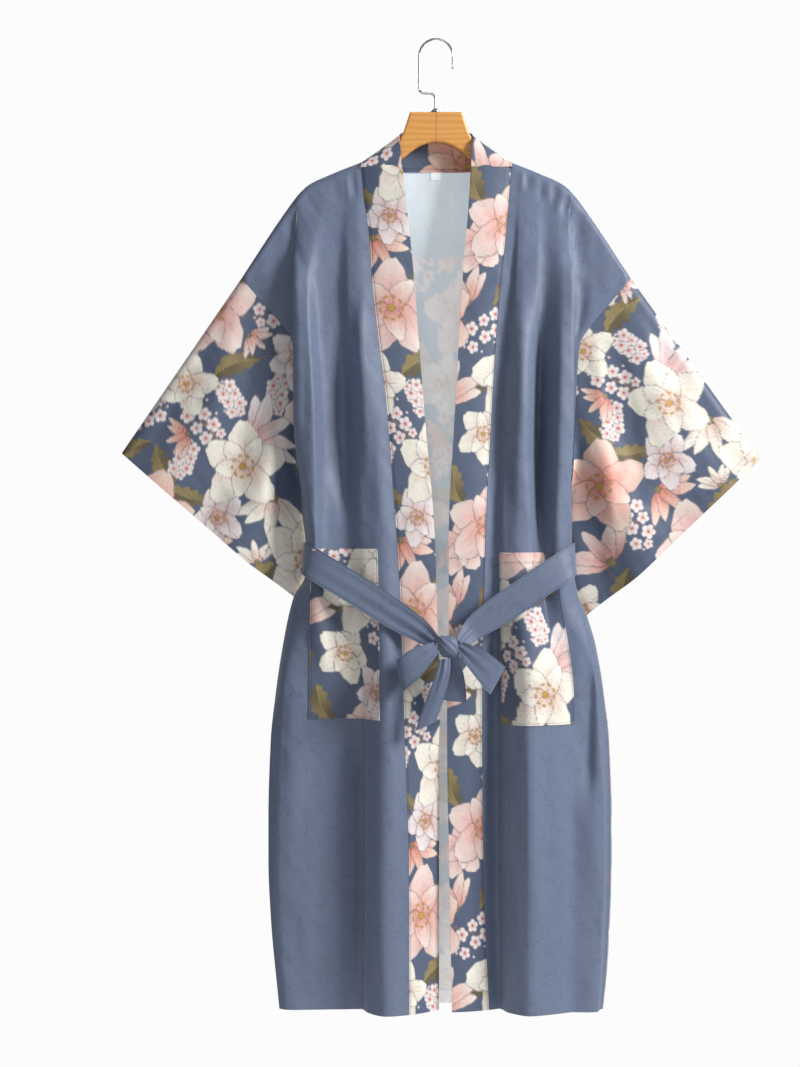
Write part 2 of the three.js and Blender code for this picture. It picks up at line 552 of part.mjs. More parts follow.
// A front band, from its join with the neck band to the hem, u from the panel seam to its free edge
function bandGrids(side, panel) {
  const edgeX = lineOf(side.edge, 'x');
  const edgeY = lineOf(side.edge, 'y');
  const seamX = lineOf(side.seam, 'x');
  const BULGE = 2.5;
  const SEAM_STEP = 0.5;
  const height = (v) => BAND_JOIN_Z + (HEM_Z - BAND_JOIN_Z) * v;
  const surface = (u, v) => {
    const z = height(v);
    const start = panel.point(0, z, NECK_CORNER_Z);
    const x = (seamX(z) - SEAM_STEP) * (1 - u) + edgeX(z) * u;
    const y = start.y * (1 - u) - edgeY(z) * u - BULGE * Math.sin(Math.PI * u);
    return new THREE.Vector3(side.sign * x, y, z);
  };
  const cols = steps(4);
  const rows = steps(24);
  const outer = rows.map((v) => cols.map((u) => surface(u, v)));
  const inner = rows.map((v, r) => cols.map((u, c) => {
    const n = normalOf(surface, u, v, (d) => -d.y);
    if (c === 0) n.set(0, -1, 0);
    if (r === 0 || r === rows.length - 1) n.setZ(0).normalize();
    return outer[r][c].clone().addScaledVector(n, -WALL);
  }));
  return { outer, inner };
}

function neckBandGrids() {
  const half = NECK_BAND;
  const all = [...half, ...half.slice(0, -1).reverse().map((row) => ({ ...row, seam_x: -row.seam_x, free_x: -row.free_x }))];
  const knots = steps(all.length - 1);
  const curve = (key) => curveThrough(knots, all.map((row) => row[key]));
  const seam = [curve('seam_x'), curve('seam_y'), curve('seam_z')];
  const free = [curve('free_x'), curve('free_y'), curve('free_z')];
  const surface = (u, v) => {
    const a = new THREE.Vector3(...seam.map((f) => f(v)));
    const b = new THREE.Vector3(...free.map((f) => f(v)));
    return a.lerp(b, u);
  };
  const cols = steps(2);
  const rows = steps((all.length - 1) * 2);
  const outer = rows.map((v) => cols.map((u) => surface(u, v)));
  // The outer face looks up over the shoulders and away from the neck
  const OUTWARD = { x: 0.4, y: 3, z: 10 };
  const inner = rows.map((v, r) => cols.map((u, c) => {
    const p = outer[r][c];
    const n = normalOf(surface, u, v, (d) => d.dot(new THREE.Vector3(p.x * OUTWARD.x, p.y * OUTWARD.y, OUTWARD.z)));
    if (r === 0 || r === rows.length - 1) n.setZ(0).normalize();
    return p.clone().addScaledVector(n, -WALL);
  }));
  return { outer, inner };
}

// A point of a panel's cloth between its own rows and columns, below the armpit, and the way out of it
function clothPoint(cloth, place, z) {
  const { outer, inner, cols, heights } = cloth;
  const r = heights.findIndex((h) => h < z) - 1;
  const beyond = cols.findIndex((k) => k > place);
  const c = beyond < 0 ? cols.length - 2 : Math.max(0, beyond - 1);
  const down = (heights[r] - z) / (heights[r] - heights[r + 1]);
  const across = (place - cols[c]) / (cols[c + 1] - cols[c]);
  const at = (grid) => grid[r][c].clone().lerp(grid[r][c + 1], across)
    .lerp(grid[r + 1][c].clone().lerp(grid[r + 1][c + 1], across), down);
  const base = at(outer);
  return { base, n: base.clone().sub(at(inner)).normalize() };
}

// Lays a layer on a panel's cloth: a grid of places and heights, moved out by lift
function laidGrids(cloth, grid) {
  const points = grid.map((row) => row.map(({ place, z, lift }) => ({ ...clothPoint(cloth, place, z), lift })));
  const outer = points.map((row) => row.map((p) => p.base.clone().addScaledVector(p.n, p.lift + WALL)));
  const inner = points.map((row) => row.map((p) => p.base.clone().addScaledVector(p.n, p.lift)));
  return { outer, inner };
}

// A pocket lies on its panel: the panel's points, moved out. Its columns are the panel's own.
function pocketGrids(pocket, cloth) {
  const BULGE = 1.2;
  const NEAR = 1;
  const between = cloth.heights.filter((h) => h < pocket.top_z - NEAR && h > pocket.bottom_z + NEAR);
  const rows = [pocket.top_z, ...between, pocket.bottom_z];
  const places = cloth.cols.slice(pocket.first, pocket.last + 1);
  const rise = (from, to, t) => Math.sin((Math.PI * (t - from)) / (to - from));
  const grid = rows.map((z) => places.map((place) => {
    const swell = rise(places[0], places[places.length - 1], place) * rise(pocket.top_z, pocket.bottom_z, z);
    return { place, z, lift: GAP + BULGE * Math.max(0, swell) };
  }));
  return laidGrids(cloth, grid);
}

// The belt round the back follows the back panel's points, moved out
function beltBackGrids(cloth) {
  const rows = [1, 0, -1].map((v) => BELT.centre_z + BELT.half_width * v);
  return laidGrids(cloth, rows.map((z) => cloth.cols.map((place) => ({ place, z, lift: GAP }))));
}

// A flat strip of cloth along table rows. across gives its width direction at each station.
function stripGrids(rows, acrossOf, halfOf, out, alongCount, acrossCount, crown = 0) {
  const knots = steps(rows.length - 1);
  const curve = (pick) => curveThrough(knots, rows.map(pick));
  const [x, y, z, half] = [curve((r) => r.x), curve((r) => r.y), curve((r) => r.z), curve(halfOf)];
  const turn = curve(acrossOf);
  const surface = (u, v) => {
    const angle = turn(v);
    const side = (u * 2 - 1) * half(v);
    const lift = crown * (1 - (u * 2 - 1) ** 2);
    return new THREE.Vector3(x(v) + Math.sin(angle) * side, y(v) - lift, z(v) + Math.cos(angle) * side);
  };
  const cols = steps(acrossCount);
  const along = steps(alongCount);
  const outer = along.map((v) => cols.map((u) => surface(u, v)));
  const centre = surface(0.5, 0.5);
  const inner = along.map((v, r) => cols.map((u, c) => {
    const n = normalOf(surface, u, v, (d) => out(d, outer[r][c], v, centre));
    return outer[r][c].clone().addScaledVector(n, -WALL);
  }));
  return { outer, inner };
}

// At the side of the robe the belt's outer face looks sideways, then to the front
function beltGrids(rows, sign) {
  const SIDE_STRETCH = 0.2;
  const out = (d, p, v) => (v < SIDE_STRETCH ? d.x * sign * 2 - d.y : -d.y);
  return stripGrids(rows, (row) => -sign * row.lean, (row) => BELT.half_width * row.keep, out, 20, 3);
}

// Loops run out and back, so their outer face turns from front to back
function loopGrids(rows, sign) {
  const BEND = { start: 0.4, end: 0.6 };
  const out = (d, p, v) => {
    if (v < BEND.start) return -d.y;
    return v > BEND.end ? d.y : d.x * sign;
  };
  return stripGrids(rows, (row) => row.lean, (row) => row.half, out, 20, 4);
}

function tailGrids(rows) {
  const CROWN = 2;
  return stripGrids(rows, (row) => row.turn + Math.PI / 2, (row) => row.half, (d) => -d.y, 10, 4, CROWN);
}

function labelGrids(panel) {
  const share = LABEL.half_width / panel.width(1, STATIONS[0]);
  const cols = [-share, 0, share];
  const rows = steps(2);
  const grid = rows.map((v) => cols.map((s) => {
    const z = NECK_SEAM_Z - LABEL.drop - LABEL.height * v;
    return panel.point(s, z).addScaledVector(new THREE.Vector3(0, -1, 0), WALL + GAP + LABEL.clear);
  }));
  const shift = new THREE.Vector3(0, -LABEL.thickness, 0);
  return { outer: grid.map((row) => row.map((p) => p.clone().add(shift))), inner: grid };
}

function knotGeometry() {
  const geometry = new THREE.SphereGeometry(1, 24, 14);
  geometry.deleteAttribute('uv');
  geometry.deleteAttribute('normal');
  const place = geometry.attributes.position;
  for (let i = 0; i < place.count; i += 1) {
    const p = new THREE.Vector3().fromBufferAttribute(place, i);
    const round = Math.sign(p.x) * Math.abs(p.x) ** KNOT_SHAPE.square_across;
    const tall = Math.sign(p.y) * Math.abs(p.y) ** KNOT_SHAPE.square_up;
    const across = (p.x * KNOT_SHAPE.slant.across + p.y * KNOT_SHAPE.slant.up) * KNOT.wraps * Math.PI;
    const dent = KNOT.groove * (0.5 - 0.5 * Math.cos(across)) * (1 - p.y * p.y);
    place.setXYZ(
      i,
      KNOT.x + round * (KNOT.half_width - dent),
      KNOT.y - p.z * (KNOT.half_depth - dent),
      KNOT.z + tall * (KNOT.half_height - dent),
    );
  }
  const faces = [...geometry.index.array];
  const points = Array.from({ length: place.count }, (_, i) => new THREE.Vector3().fromBufferAttribute(place, i));
  if (signedVolume(points, faces) < 0) geometry.setIndex(faces.reverse());
  geometry.computeVertexNormals();
  return geometry;
}

// The hanger: a flat board cut to its outline, with rounded edges
function hangerGeometry() {
  const topAt = (x) => shoulderZ(x) - HANGER.clearance;
  const head = [{ x: 34.6, z: -95.8 }, { x: 44.2, z: -124.5 }, { x: 50, z: -136 }, { x: 70, z: -151.5 }];
  const shoulder = [
    { x: 84, z: -164.6 }, { x: 97, below: 3.4 }, { x: 120 }, { x: 145 }, { x: 164 },
    { x: 173, below: 1.5 },
  ].map(({ x, below = 0, z = topAt(x) - below }) => ({ x, z }));
  const underside = [
    { x: HANGER.tip_x, z: HANGER.tip_z }, { x: 173, z: -213 }, { x: 150, z: -209 }, { x: 120, z: -198 },
    { x: 90, z: -184 }, { x: 62, z: -167 }, { x: 43, z: -157 },
  ];
  const right = [...head, ...shoulder, ...underside];
  const arch = { half: 43, foot: -157, apex: -136 };
  const shape = new THREE.Shape();
  shape.moveTo(right[0].x, right[0].z);
  right.slice(1).forEach(({ x, z }) => shape.lineTo(x, z));
  steps(12).slice(1, -1).forEach((k) => {
    const x = arch.half * (1 - 2 * k);
    shape.lineTo(x, arch.foot + (arch.apex - arch.foot) * (1 - (x / arch.half) ** 2));
  });
  [...right].reverse().forEach(({ x, z }) => shape.lineTo(-x, z));
  shape.closePath();
  const geometry = new THREE.ExtrudeGeometry(shape, {
    depth: HANGER.thickness - 2 * HANGER.bevel,
    bevelEnabled: true,
    bevelThickness: HANGER.bevel,
    bevelSize: HANGER.bevel,
    bevelOffset: -HANGER.bevel,
    bevelSegments: 2,
  });
  geometry.rotateX(Math.PI / 2);
  geometry.translate(0, HANGER.thickness / 2 - HANGER.bevel, 0);
  return geometry;
}

function hookGeometry() {
  const flat = (x, z) => new THREE.Vector3(x, 0, z);
  const centreZ = HOOK.wire / 2 - HOOK.radius;
  const path = new THREE.CurvePath();
  const arc = (x, z, radius, from, to) => {
    const points = steps(8).map((k) => {
      const angle = from + (to - from) * k;
      return flat(x + radius * Math.cos(angle), z + radius * Math.sin(angle));
    });
    return new THREE.CatmullRomCurve3(points);
  };
  const legEnd = centreZ - HOOK.leg;
  const jog = HOOK.jog_radius;
  const cornerX = -HOOK.radius + jog;
  const turnX = HOOK.stem_x - jog;
  path.add(new THREE.LineCurve3(flat(HOOK.radius, centreZ - HOOK.tip_drop), flat(HOOK.radius, centreZ)));
  path.add(arc(0, centreZ, HOOK.radius, 0, Math.PI));
  path.add(new THREE.LineCurve3(flat(-HOOK.radius, centreZ), flat(-HOOK.radius, legEnd)));
  path.add(arc(cornerX, legEnd, jog, Math.PI, Math.PI * 1.5));
  path.add(new THREE.LineCurve3(flat(cornerX, legEnd - jog), flat(turnX, legEnd - jog)));
  path.add(arc(turnX, legEnd - 2 * jog, jog, Math.PI / 2, 0));
  path.add(new THREE.LineCurve3(flat(HOOK.stem_x, legEnd - 2 * jog), flat(HOOK.stem_x, HOOK.stem_end)));
  const wire = new THREE.Shape();
  wire.absarc(0, 0, HOOK.wire / 2, 0, Math.PI * 2);
  return new THREE.ExtrudeGeometry(wire, { steps: 44, extrudePath: path, curveSegments: 5, bevelEnabled: false });
}

function ferruleGeometry() {
  const height = FERRULE.top_z - FERRULE.base_z;
  const profile = [
    new THREE.Vector2(0, 0),
    new THREE.Vector2(FERRULE.base_radius, 0),
    new THREE.Vector2(FERRULE.base_radius, height * 0.25),
    new THREE.Vector2(FERRULE.top_radius, height),
    new THREE.Vector2(0, height),
  ];
  const geometry = new THREE.LatheGeometry(profile, 20);
  geometry.rotateX(Math.PI / 2);
  geometry.translate(HOOK.stem_x, 0, FERRULE.base_z);
  return geometry;
}

const CLOTH = { plain: 0x63718d, print: 0x8a8390, wood: 0xd9a05f, metal: 0xc9ccd1, label: 0xf4f4f2 };
const group = new THREE.Group();

function addPiece(name, geometry, color, roughness, metalness = 0) {
  const mesh = new THREE.Mesh(geometry, new THREE.MeshStandardMaterial({ color, roughness, metalness }));
  mesh.name = name;
  group.add(mesh);
}
function addCloth(name, { outer, inner }, color, ring = false) {
  addPiece(name, wallGeometry(outer, inner, ring), color, 0.75);
}

const fronts = { left: frontPanel(LEFT), right: frontPanel(RIGHT) };
const back = backPanel();
const frontCloth = { left: frontGrids(fronts.left, LEFT), right: frontGrids(fronts.right, RIGHT) };
const backCloth = backGrids(back);

addPiece('hook', hookGeometry(), CLOTH.metal, 0.2, 1);
addPiece('hook_ferrule', ferruleGeometry(), CLOTH.metal, 0.25, 1);
addPiece('hanger_wood', hangerGeometry(), CLOTH.wood, 0.45);
addCloth('back', backCloth, CLOTH.plain);
for (const [name, side] of [['left', LEFT], ['right', RIGHT]]) {
  const cloth = frontCloth[name];
  const lastCol = cloth.outer[0].length - 1;
  const backCol = name === 'left' ? 0 : backCloth.outer[0].length - 1;
  const frontRim = armholeRim(cloth, lastCol, side);
  const backRim = armholeRim(backCloth, backCol, side);
  addCloth(`front_${name}`, cloth, CLOTH.plain);
  addCloth(`sleeve_${name}`, sleeveGrids(side, frontRim, backRim), CLOTH.print, true);
  addCloth(`band_${name}`, bandGrids(side, fronts[name]), CLOTH.print);
  addCloth(`pocket_${name}`, pocketGrids(POCKETS[name], cloth), CLOTH.print);
}
addCloth('band_neck', neckBandGrids(), CLOTH.print);
addCloth('belt_left', beltGrids(BELT_LEFT, -1), CLOTH.plain);
addCloth('belt_right', beltGrids(BELT_RIGHT, 1), CLOTH.plain);
addCloth('belt_back', beltBackGrids(backCloth), CLOTH.plain);
addPiece('belt_knot', knotGeometry(), CLOTH.plain, 0.75);
addCloth('bow_loop_left', loopGrids(BOW_LOOP_LEFT, -1), CLOTH.plain);
addCloth('bow_loop_right', loopGrids(BOW_LOOP_RIGHT, 1), CLOTH.plain);
addCloth('bow_tail_left', tailGrids(BOW_TAIL_LEFT), CLOTH.plain);
addCloth('bow_tail_right', tailGrids(BOW_TAIL_RIGHT), CLOTH.plain);
addCloth('size_label', labelGrids(back), CLOTH.label);

export default group;
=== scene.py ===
"""A kimono robe with a tied belt, hung flat on a wooden hanger.

The solids of the robe come with the frame. Each soft one is replaced here by a thin cloth shell that follows
the same lines on a finer grid, with its creases, its sewing and its print. The tables are in millimetres,
measured from the inner top of the hook, and a mesh gets its points in metres.
"""

import logging
from dataclasses import dataclass
from enum import Enum

import bpy
import numpy as np
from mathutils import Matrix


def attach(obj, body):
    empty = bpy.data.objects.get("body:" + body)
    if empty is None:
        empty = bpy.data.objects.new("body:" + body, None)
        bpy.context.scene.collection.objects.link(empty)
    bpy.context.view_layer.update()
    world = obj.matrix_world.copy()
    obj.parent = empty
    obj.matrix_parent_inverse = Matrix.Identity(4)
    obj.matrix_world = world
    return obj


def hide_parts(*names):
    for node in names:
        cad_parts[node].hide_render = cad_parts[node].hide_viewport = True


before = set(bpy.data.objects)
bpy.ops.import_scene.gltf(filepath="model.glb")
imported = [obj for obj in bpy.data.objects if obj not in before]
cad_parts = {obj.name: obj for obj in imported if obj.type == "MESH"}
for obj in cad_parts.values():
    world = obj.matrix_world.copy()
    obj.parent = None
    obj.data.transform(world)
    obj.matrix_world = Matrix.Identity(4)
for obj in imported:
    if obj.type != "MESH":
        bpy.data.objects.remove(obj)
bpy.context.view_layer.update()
LOG = logging.getLogger("robe")
MM = 0.001
Array = np.ndarray
Rows = tuple[tuple[float, ...], ...]
Socket = bpy.types.NodeSocket
Tree = bpy.types.NodeTree
Materials = dict[str, bpy.types.Material]

# The cut of the robe, in millimetres
HEM_Z = -1286.0
ARMPIT_Z = -565.0
SLIT_TOP_Z = -870.0
NECK_CORNER = (96.0, -161.0)
NECK_SEAM_Z = -171.0
NECK_SEAM_Y = 20.0
BAND_JOIN_Z = -170.6
CAP_DEPTH = 9.5
CAP_REACH = 10.0
SHOULDER_SETTLE = 130.0
ARMHOLE_DEPTH = 12.0
SLIT_OPEN = 9.0
SLIT_RAMP = 60.0
BELT_Z = -689.0
SLEEVE_TOP_X = 259.0
SEAM = 0.15
CLOTH = 0.9
DOUBLED = 1.3
LAYER_GAP = 0.5
FORWARD = np.array((0.0, -1.0, 0.0))
BACKWARD = -FORWARD
HEM = 18.0
STITCH_IN = 2.0
FAR_FROM_SEAM = 60.0
KNOT_X = 14.0

# The shoulder line from the neck corner to the top of the sleeve seam: x, z
SHOULDER = ((90, -158.5), (96, -161), (118, -169.5), (140, -178.5), (167, -191), (180, -202), (200, -228),
            (259, -317))

# Heights at which the fold tables are given
STATIONS = (-200, -330, -500, -690, -870, -1080, HEM_Z)


@dataclass(frozen=True)
class Fold:
    """One fold line of a front panel: its distance out and its depth to the front at the stations."""

    name: str
    x: tuple[float, ...]
    y: tuple[float, ...]


@dataclass(frozen=True)
class Side:
    """The lines of one side of the robe, in outward distances from the middle plane.

    seam is the line between panel and band (z, x), edge the free edge of the band (z, x, y) and side the
    armhole, side seam and slit edge in turn (z, x). cuff holds top x, top z, bottom x and bottom z.
    """

    name: str
    sign: int
    seam: Rows
    edge: Rows
    side: Rows
    seam_depth: tuple[float, ...]
    folds: tuple[Fold, ...]
    under_depth: tuple[float, ...]
    cuff: tuple[float, float, float, float]
    back_flare: float

    @property
    def front_piece(self) -> str:
        """The name of this side's front panel piece."""
        return f"front_{self.name}_cloth"


LEFT = Side(
    name="left", sign=-1,
    seam=((-161, 100), (-170, 99.6), (-212, 96), (-262, 89), (-325, 85), (-390, 78), (-468, 68), (-587, 58),
          (-743, 48), (-927, 42), (-1090, 36.5), (HEM_Z, 36)),
    edge=((-161, 46.3, 16), (-230, 38.5, 22), (-291, 32, 27), (-354, 27, 31), (-500, 15.5, 34),
          (-665, 2, 38), (-784, -1.5, 36), (-878, -5, 30), (-931, -4, 26), (-1080, -3.6, 20),
          (HEM_Z, -3.6, 16)),
    side=((-317, 259), (-345, 234.5), (-372, 211), (-397, 192.5), (-430, 188), (-500, 184.5),
          (ARMPIT_Z, 181), (-610, 180.2), (-680, 173), (-712, 174.5), (-742, 190), (-806, 204),
          (SLIT_TOP_Z, 213.5), (-931, 219.5), (-1031, 222.5), (-1091, 222.5), (-1162, 219.5), (HEM_Z, 208)),
    seam_depth=(12, 30, 38, 40, 46, 50, 50),
    folds=(
        Fold("roll", (106, 103, 88, 70, 67, 66, 66), (16, 34, 46, 46, 58, 60, 60)),
        Fold("step", (116, 115, 104, 92, 88, 89, 90), (14, 32, 36, 40, 40, 36, 36)),
        Fold("valley", (124, 132, 124, 119, 100, 99, 100), (13, 23, 16, 26, 20, 14, 12)),
        Fold("rise", (136, 156, 148, 145, 124, 126, 128), (14, 27, 24, 31, 21, 15.5, 14)),
        Fold("brow", (152, 171, 162, 158, 149, 152, 154), (16, 36, 50, 42, 23.5, 17, 15.5)),
        Fold("lip", (168, 180, 176, 165, 168, 172, 172), (16, 37, 51, 36, 25, 18.5, 17)),
        Fold("fold", (184, 189, 188, 169, 188, 192, 186), (15, 33, 42, 26, 26, 20, 18)),
        Fold("tuck", (193, 160, 166, 171.6, 201, 206, 197), (13, 25, 26, 16, 24, 19, 17)),
    ),
    under_depth=(12, 14, 13.5, 9, 16, 15, 14),
    cuff=(418, -549, 194.5, -742), back_flare=0,
)
RIGHT = Side(
    name="right", sign=1,
    seam=((-161, 100), (-170, 99.6), (-232, 95), (-323, 85.7), (-376, 80.5), (-500, 73), (-684, 63.9),
          (-868, 60.9), (-927, 60.9), (-1125, 63.2), (HEM_Z, 70.3)),
    edge=((-161, 46.3, 16), (-230, 42, 21), (-285, 37, 24), (-338, 33.5, 27), (-500, 24, 34),
          (-665, 16, 38), (-784, 16, 36), (-878, 14, 34), (-931, 14, 33), (-1080, 16.5, 33), (HEM_Z, 20.6, 33)),
    side=((-317, 259), (-345, 235.5), (-375, 210), (-405, 190.5), (-440, 187), (-500, 184), (ARMPIT_Z, 181),
          (-680, 181), (-714, 181.8), (-768, 201.5), (-804, 212), (SLIT_TOP_Z, 223), (-931, 228.5),
          (-1031, 231.5), (-1091, 231.5), (-1212, 227), (HEM_Z, 221)),
    seam_depth=(12, 22, 25, 32, 24, 20, 18),
    folds=(
        Fold("strip", (106, 98, 82, 77, 79, 80, 84), (13, 20, 20, 28, 13, 11, 10)),
        Fold("foot", (113, 105, 95, 88, 92, 92, 94), (15, 27, 33, 37, 33, 34, 34)),
        Fold("crest", (122, 116, 112, 107, 121, 121, 122), (16, 30, 46, 44, 59, 60, 58)),
        Fold("drop", (134, 130, 126, 124, 143, 144, 144), (16, 29, 37, 40, 50, 52, 50)),
        Fold("valley", (146, 143, 138, 138, 162, 162, 162), (14, 25, 10, 22, 40, 43, 41)),
        Fold("ridge", (160, 167, 162, 159, 181, 183, 181), (16, 36, 46, 37.5, 29, 30, 32)),
        Fold("fold", (174, 181, 180, 174.5, 199, 206, 200), (15, 34, 42, 27, 28, 31, 33)),
        Fold("tuck", (186, 153, 160, 179.2, 211, 220, 212), (13, 25, 26, 16, 26, 29, 30)),
    ),
    under_depth=(12, 14, 13.5, 9, 15, 14, 15),
    cuff=(431, -556, 209.5, -767), back_flare=3,
)

# The back panel's fold lines: share of the way to the side, then the depth at the stations
BACK_FOLDS = (
    (-0.94, 12, 14, 12, 9, 14, 16, 16),
    (-0.8, 14, 21, 25, 15, 24, 32, 32),
    (-0.62, 16, 25, 20, 20, 30, 20, 20),
    (-0.44, 17, 28, 33, 24, 23, 37, 39),
    (-0.27, 18, 27, 25, 24, 34, 26, 25),
    (-0.09, 20, 28, 30, 24, 30, 34, 35),
    (0.1, 20, 27, 26, 24, 26, 26, 27),
    (0.28, 18, 28, 31, 24, 34, 37, 37),
    (0.46, 17, 26, 22, 23, 24, 24, 23),
    (0.63, 16, 25, 27, 20, 31, 34, 36),
    (0.8, 14, 20, 19, 15, 22, 24, 23),
    (0.94, 12, 14, 12, 9, 14, 17, 18),
)

# Soft folds of a sleeve: share of the way from its top edge to its underarm, width, depth
SLEEVE_FOLDS = ((0.2, 0.1, 3.5), (0.45, 0.12, -4), (0.68, 0.1, 4.5), (0.86, 0.07, -3))

# Half of the neck band, from its join to the middle of the back: sewn edge x, y, z and free edge x, y, z
NECK_BAND = (
    (99.2, -12.3, -170.2, 46.3, -16.2, -170.2),
    (98.6, -10.6, -166, 46.9, -15.8, -152),
    (97.2, -6.5, -161.6, 48, -13.6, -139),
    (95.2, 0, -159.8, 49.5, -4, -128.4),
    (93, 5.2, -160.3, 48.5, 6, -124.5),
    (86, 11, -162.8, 45.5, 12.8, -121),
    (70, 16.2, -167.6, 38, 16.2, -119.4),
    (45, 19.2, -170.3, 24, 18.2, -119),
    (22, 19.9, -170.6, 12, 18.9, -119),
    (0, 20, -170.6, 0, 19, -119),
)

# The belt's front stretches, from the side to the knot: x, y, z, lean and the share of the width kept
BELT_LEFT = (
    (-176.4, -0.2, -688, 0, 1), (-176.3, -11, -688, 0.02, 1), (-175.6, -25, -688.5, 0.1, 1),
    (-171.6, -38, -690, 0.24, 1), (-162, -46.5, -695.5, 0.4, 1), (-140, -51.5, -709, 0.52, 1),
    (-100, -54, -733, 0.55, 0.99), (-58, -57, -760, 0.57, 0.95), (-22, -61, -783, 0.6, 0.75),
    (-1, -74.5, -798.5, 0.6, 0.4),
)
BELT_RIGHT = (
    (184.6, -0.2, -688, 0, 1), (184.5, -11, -688, 0.02, 1), (183.2, -25, -689, 0.1, 1),
    (178.4, -38, -692, 0.24, 1), (168, -46.5, -699, 0.4, 1), (144, -53, -714, 0.5, 1),
    (112, -56, -736, 0.56, 0.99), (78, -58, -759, 0.6, 0.95), (48, -61.5, -780, 0.6, 0.75),
    (29.9, -74.5, -798, 0.55, 0.42),
)

# The bow: x, y, z, half the width, and how far the width turns from upright (a tail's turns from level)
BOW_LOOP_LEFT = (
    (-0.5, -86, -802, 7, -0.6), (-14, -91, -812, 13, -0.52), (-32, -93, -826, 19, -0.35),
    (-45, -90, -837, 20.5, -0.2), (-49, -83.5, -840.5, 20.8, -0.2), (-43, -78.5, -837, 20, -0.22),
    (-28, -76.5, -825, 17.5, -0.38), (-13, -75.5, -812, 12, -0.52), (-2.5, -76, -804, 6.5, -0.6),
)
BOW_LOOP_RIGHT = (
    (29.5, -86, -802, 7, 0.55), (42, -91, -812, 12.5, 0.55), (57, -93, -825, 17.5, 0.52),
    (73, -90, -841, 20, 0.5), (79, -83.5, -846.5, 20.3, 0.5), (72, -78.5, -840, 19.5, 0.5),
    (56, -76.5, -825, 16.5, 0.52), (42, -75.5, -813, 12, 0.55), (32, -76, -804, 6.5, 0.55),
)
BOW_TAIL_LEFT = (
    (10, -84, -818, 7.5, -0.12), (7.5, -86, -836, 10, -0.2), (2, -84, -856, 12, -0.26),
    (-6, -81, -880, 13.5, -0.32), (-15, -79, -906, 14.5, -0.4),
)
BOW_TAIL_RIGHT = (
    (19.5, -76, -818.6, 8, 0.04), (20.4, -74, -837, 14, 0.06), (21.5, -72.5, -856, 16, 0.08),
    (22, -70, -874, 16.5, 0.12),
)


def ease(t: Array) -> Array:
    """Smooth step: 0 before 0, 1 after 1, three t squared less two t cubed between."""
    k = np.clip(t, 0.0, 1.0)
    return k * k * (3 - 2 * k)


def quarter_round(t: Array) -> Array:
    """Quarter circle: 0 at the edge, 1 once the distance from it reaches 1."""
    k = np.clip(t, 0.0, 1.0)
    return np.sqrt(np.maximum(0.0, 1 - (1 - k) ** 2))


def curve_through(places: Array, values: Array, t: Array) -> Array:
    """A smooth curve through values that never swings past them.

    Cubic Hermite pieces, whose slope at a knot is the harmonic mean of the rises on its two sides, or zero
    where the values turn there. The first and last slopes are those of the end stretches.

    Args:
        places: The knots, rising or falling, one for each value.
        values: One number for each knot, or one array of t's shape for each knot.
        t: Where the curve is wanted, in any shape.

    Returns:
        The curve's values, in the shape of t.
    """
    at = np.asarray(places, float)
    given = np.asarray(values, float)
    if at[0] > at[-1]:
        at, given = at[::-1], given[::-1]
    where = np.clip(np.asarray(t, float), at[0], at[-1])
    given = given.reshape(given.shape + (1,) * (where.ndim + 1 - given.ndim))
    given = np.broadcast_to(given, (len(at), *where.shape))
    steps = np.diff(at).reshape((-1,) + (1,) * where.ndim)
    rise = np.diff(given, axis=0) / steps
    slope = np.zeros(given.shape)
    slope[0], slope[-1] = rise[0], rise[-1]
    same = rise[:-1] * rise[1:] > 0
    total = np.where(same, rise[:-1] + rise[1:], 1.0)
    slope[1:-1] = np.where(same, 2 * rise[:-1] * rise[1:] / total, 0.0)
    i = np.clip(np.searchsorted(at, where, side="right") - 1, 0, len(at) - 2)

    def pick(rows: Array, index: Array) -> Array:
        """The row of each point."""
        return np.take_along_axis(rows, index[None], axis=0)[0]

    step = at[i + 1] - at[i]
    k = (where - at[i]) / step
    rest = 1 - k
    return ((1 + 2 * k) * rest**2 * pick(given, i) + k * rest**2 * step * pick(slope, i)
            + k * k * (3 - 2 * k) * pick(given, i + 1) - k * k * rest * step * pick(slope, i + 1))


def column(rows: Rows, index: int, t: Array) -> Array:
    """One column of a table as a smooth curve over its first column."""
    table = np.asarray(rows, float)
    return curve_through(table[:, 0], table[:, index], t)


def shoulder_z(x: Array) -> Array:
    """Height of the shoulder line at a distance from the middle plane."""
    return column(SHOULDER, 1, x)


def settled(drop: Array, depth: Array) -> Array:
    """How far cloth stands off the shoulder line: a quarter round over the fold, then a slow settling."""
    cap = CAP_DEPTH * quarter_round(drop / CAP_REACH)
    return cap + (depth - CAP_DEPTH) * ease(drop / SHOULDER_SETTLE)


def side_depth(z: Array) -> Array:
    """Depth of the outermost line: armhole above the armpit, closed side seam, then the open slit."""
    armhole = ARMHOLE_DEPTH * quarter_round((z - ARMPIT_Z) / CAP_REACH)
    return np.where(z >= ARMPIT_Z, armhole, SLIT_OPEN * ease((SLIT_TOP_Z - z) / SLIT_RAMP))


def arc_columns(widths: Array, spacing: float) -> Array:
    """Column places from 0 to 1, close to a real spacing, for stretches of these real widths.

    Args:
        widths: The real width of each stretch; every stretch takes the same share of 0 to 1.
        spacing: The real distance wanted between columns.

    Returns:
        The places, the knots between stretches among them.
    """
    parts = [np.linspace(i, i + 1, max(2, int(np.ceil(w / spacing))), endpoint=False)
             for i, w in enumerate(widths)]
    return np.append(np.concatenate(parts), len(widths)) / len(widths)


def strand(spacing: float, *stops: float) -> Array:
    """Places along a line through all of these stops, about a real spacing apart."""
    parts = [np.linspace(a, b, max(1, int(np.ceil(abs(b - a) / spacing))), endpoint=False)
             for a, b in zip(stops, stops[1:])]
    return np.append(np.concatenate(parts), stops[-1])


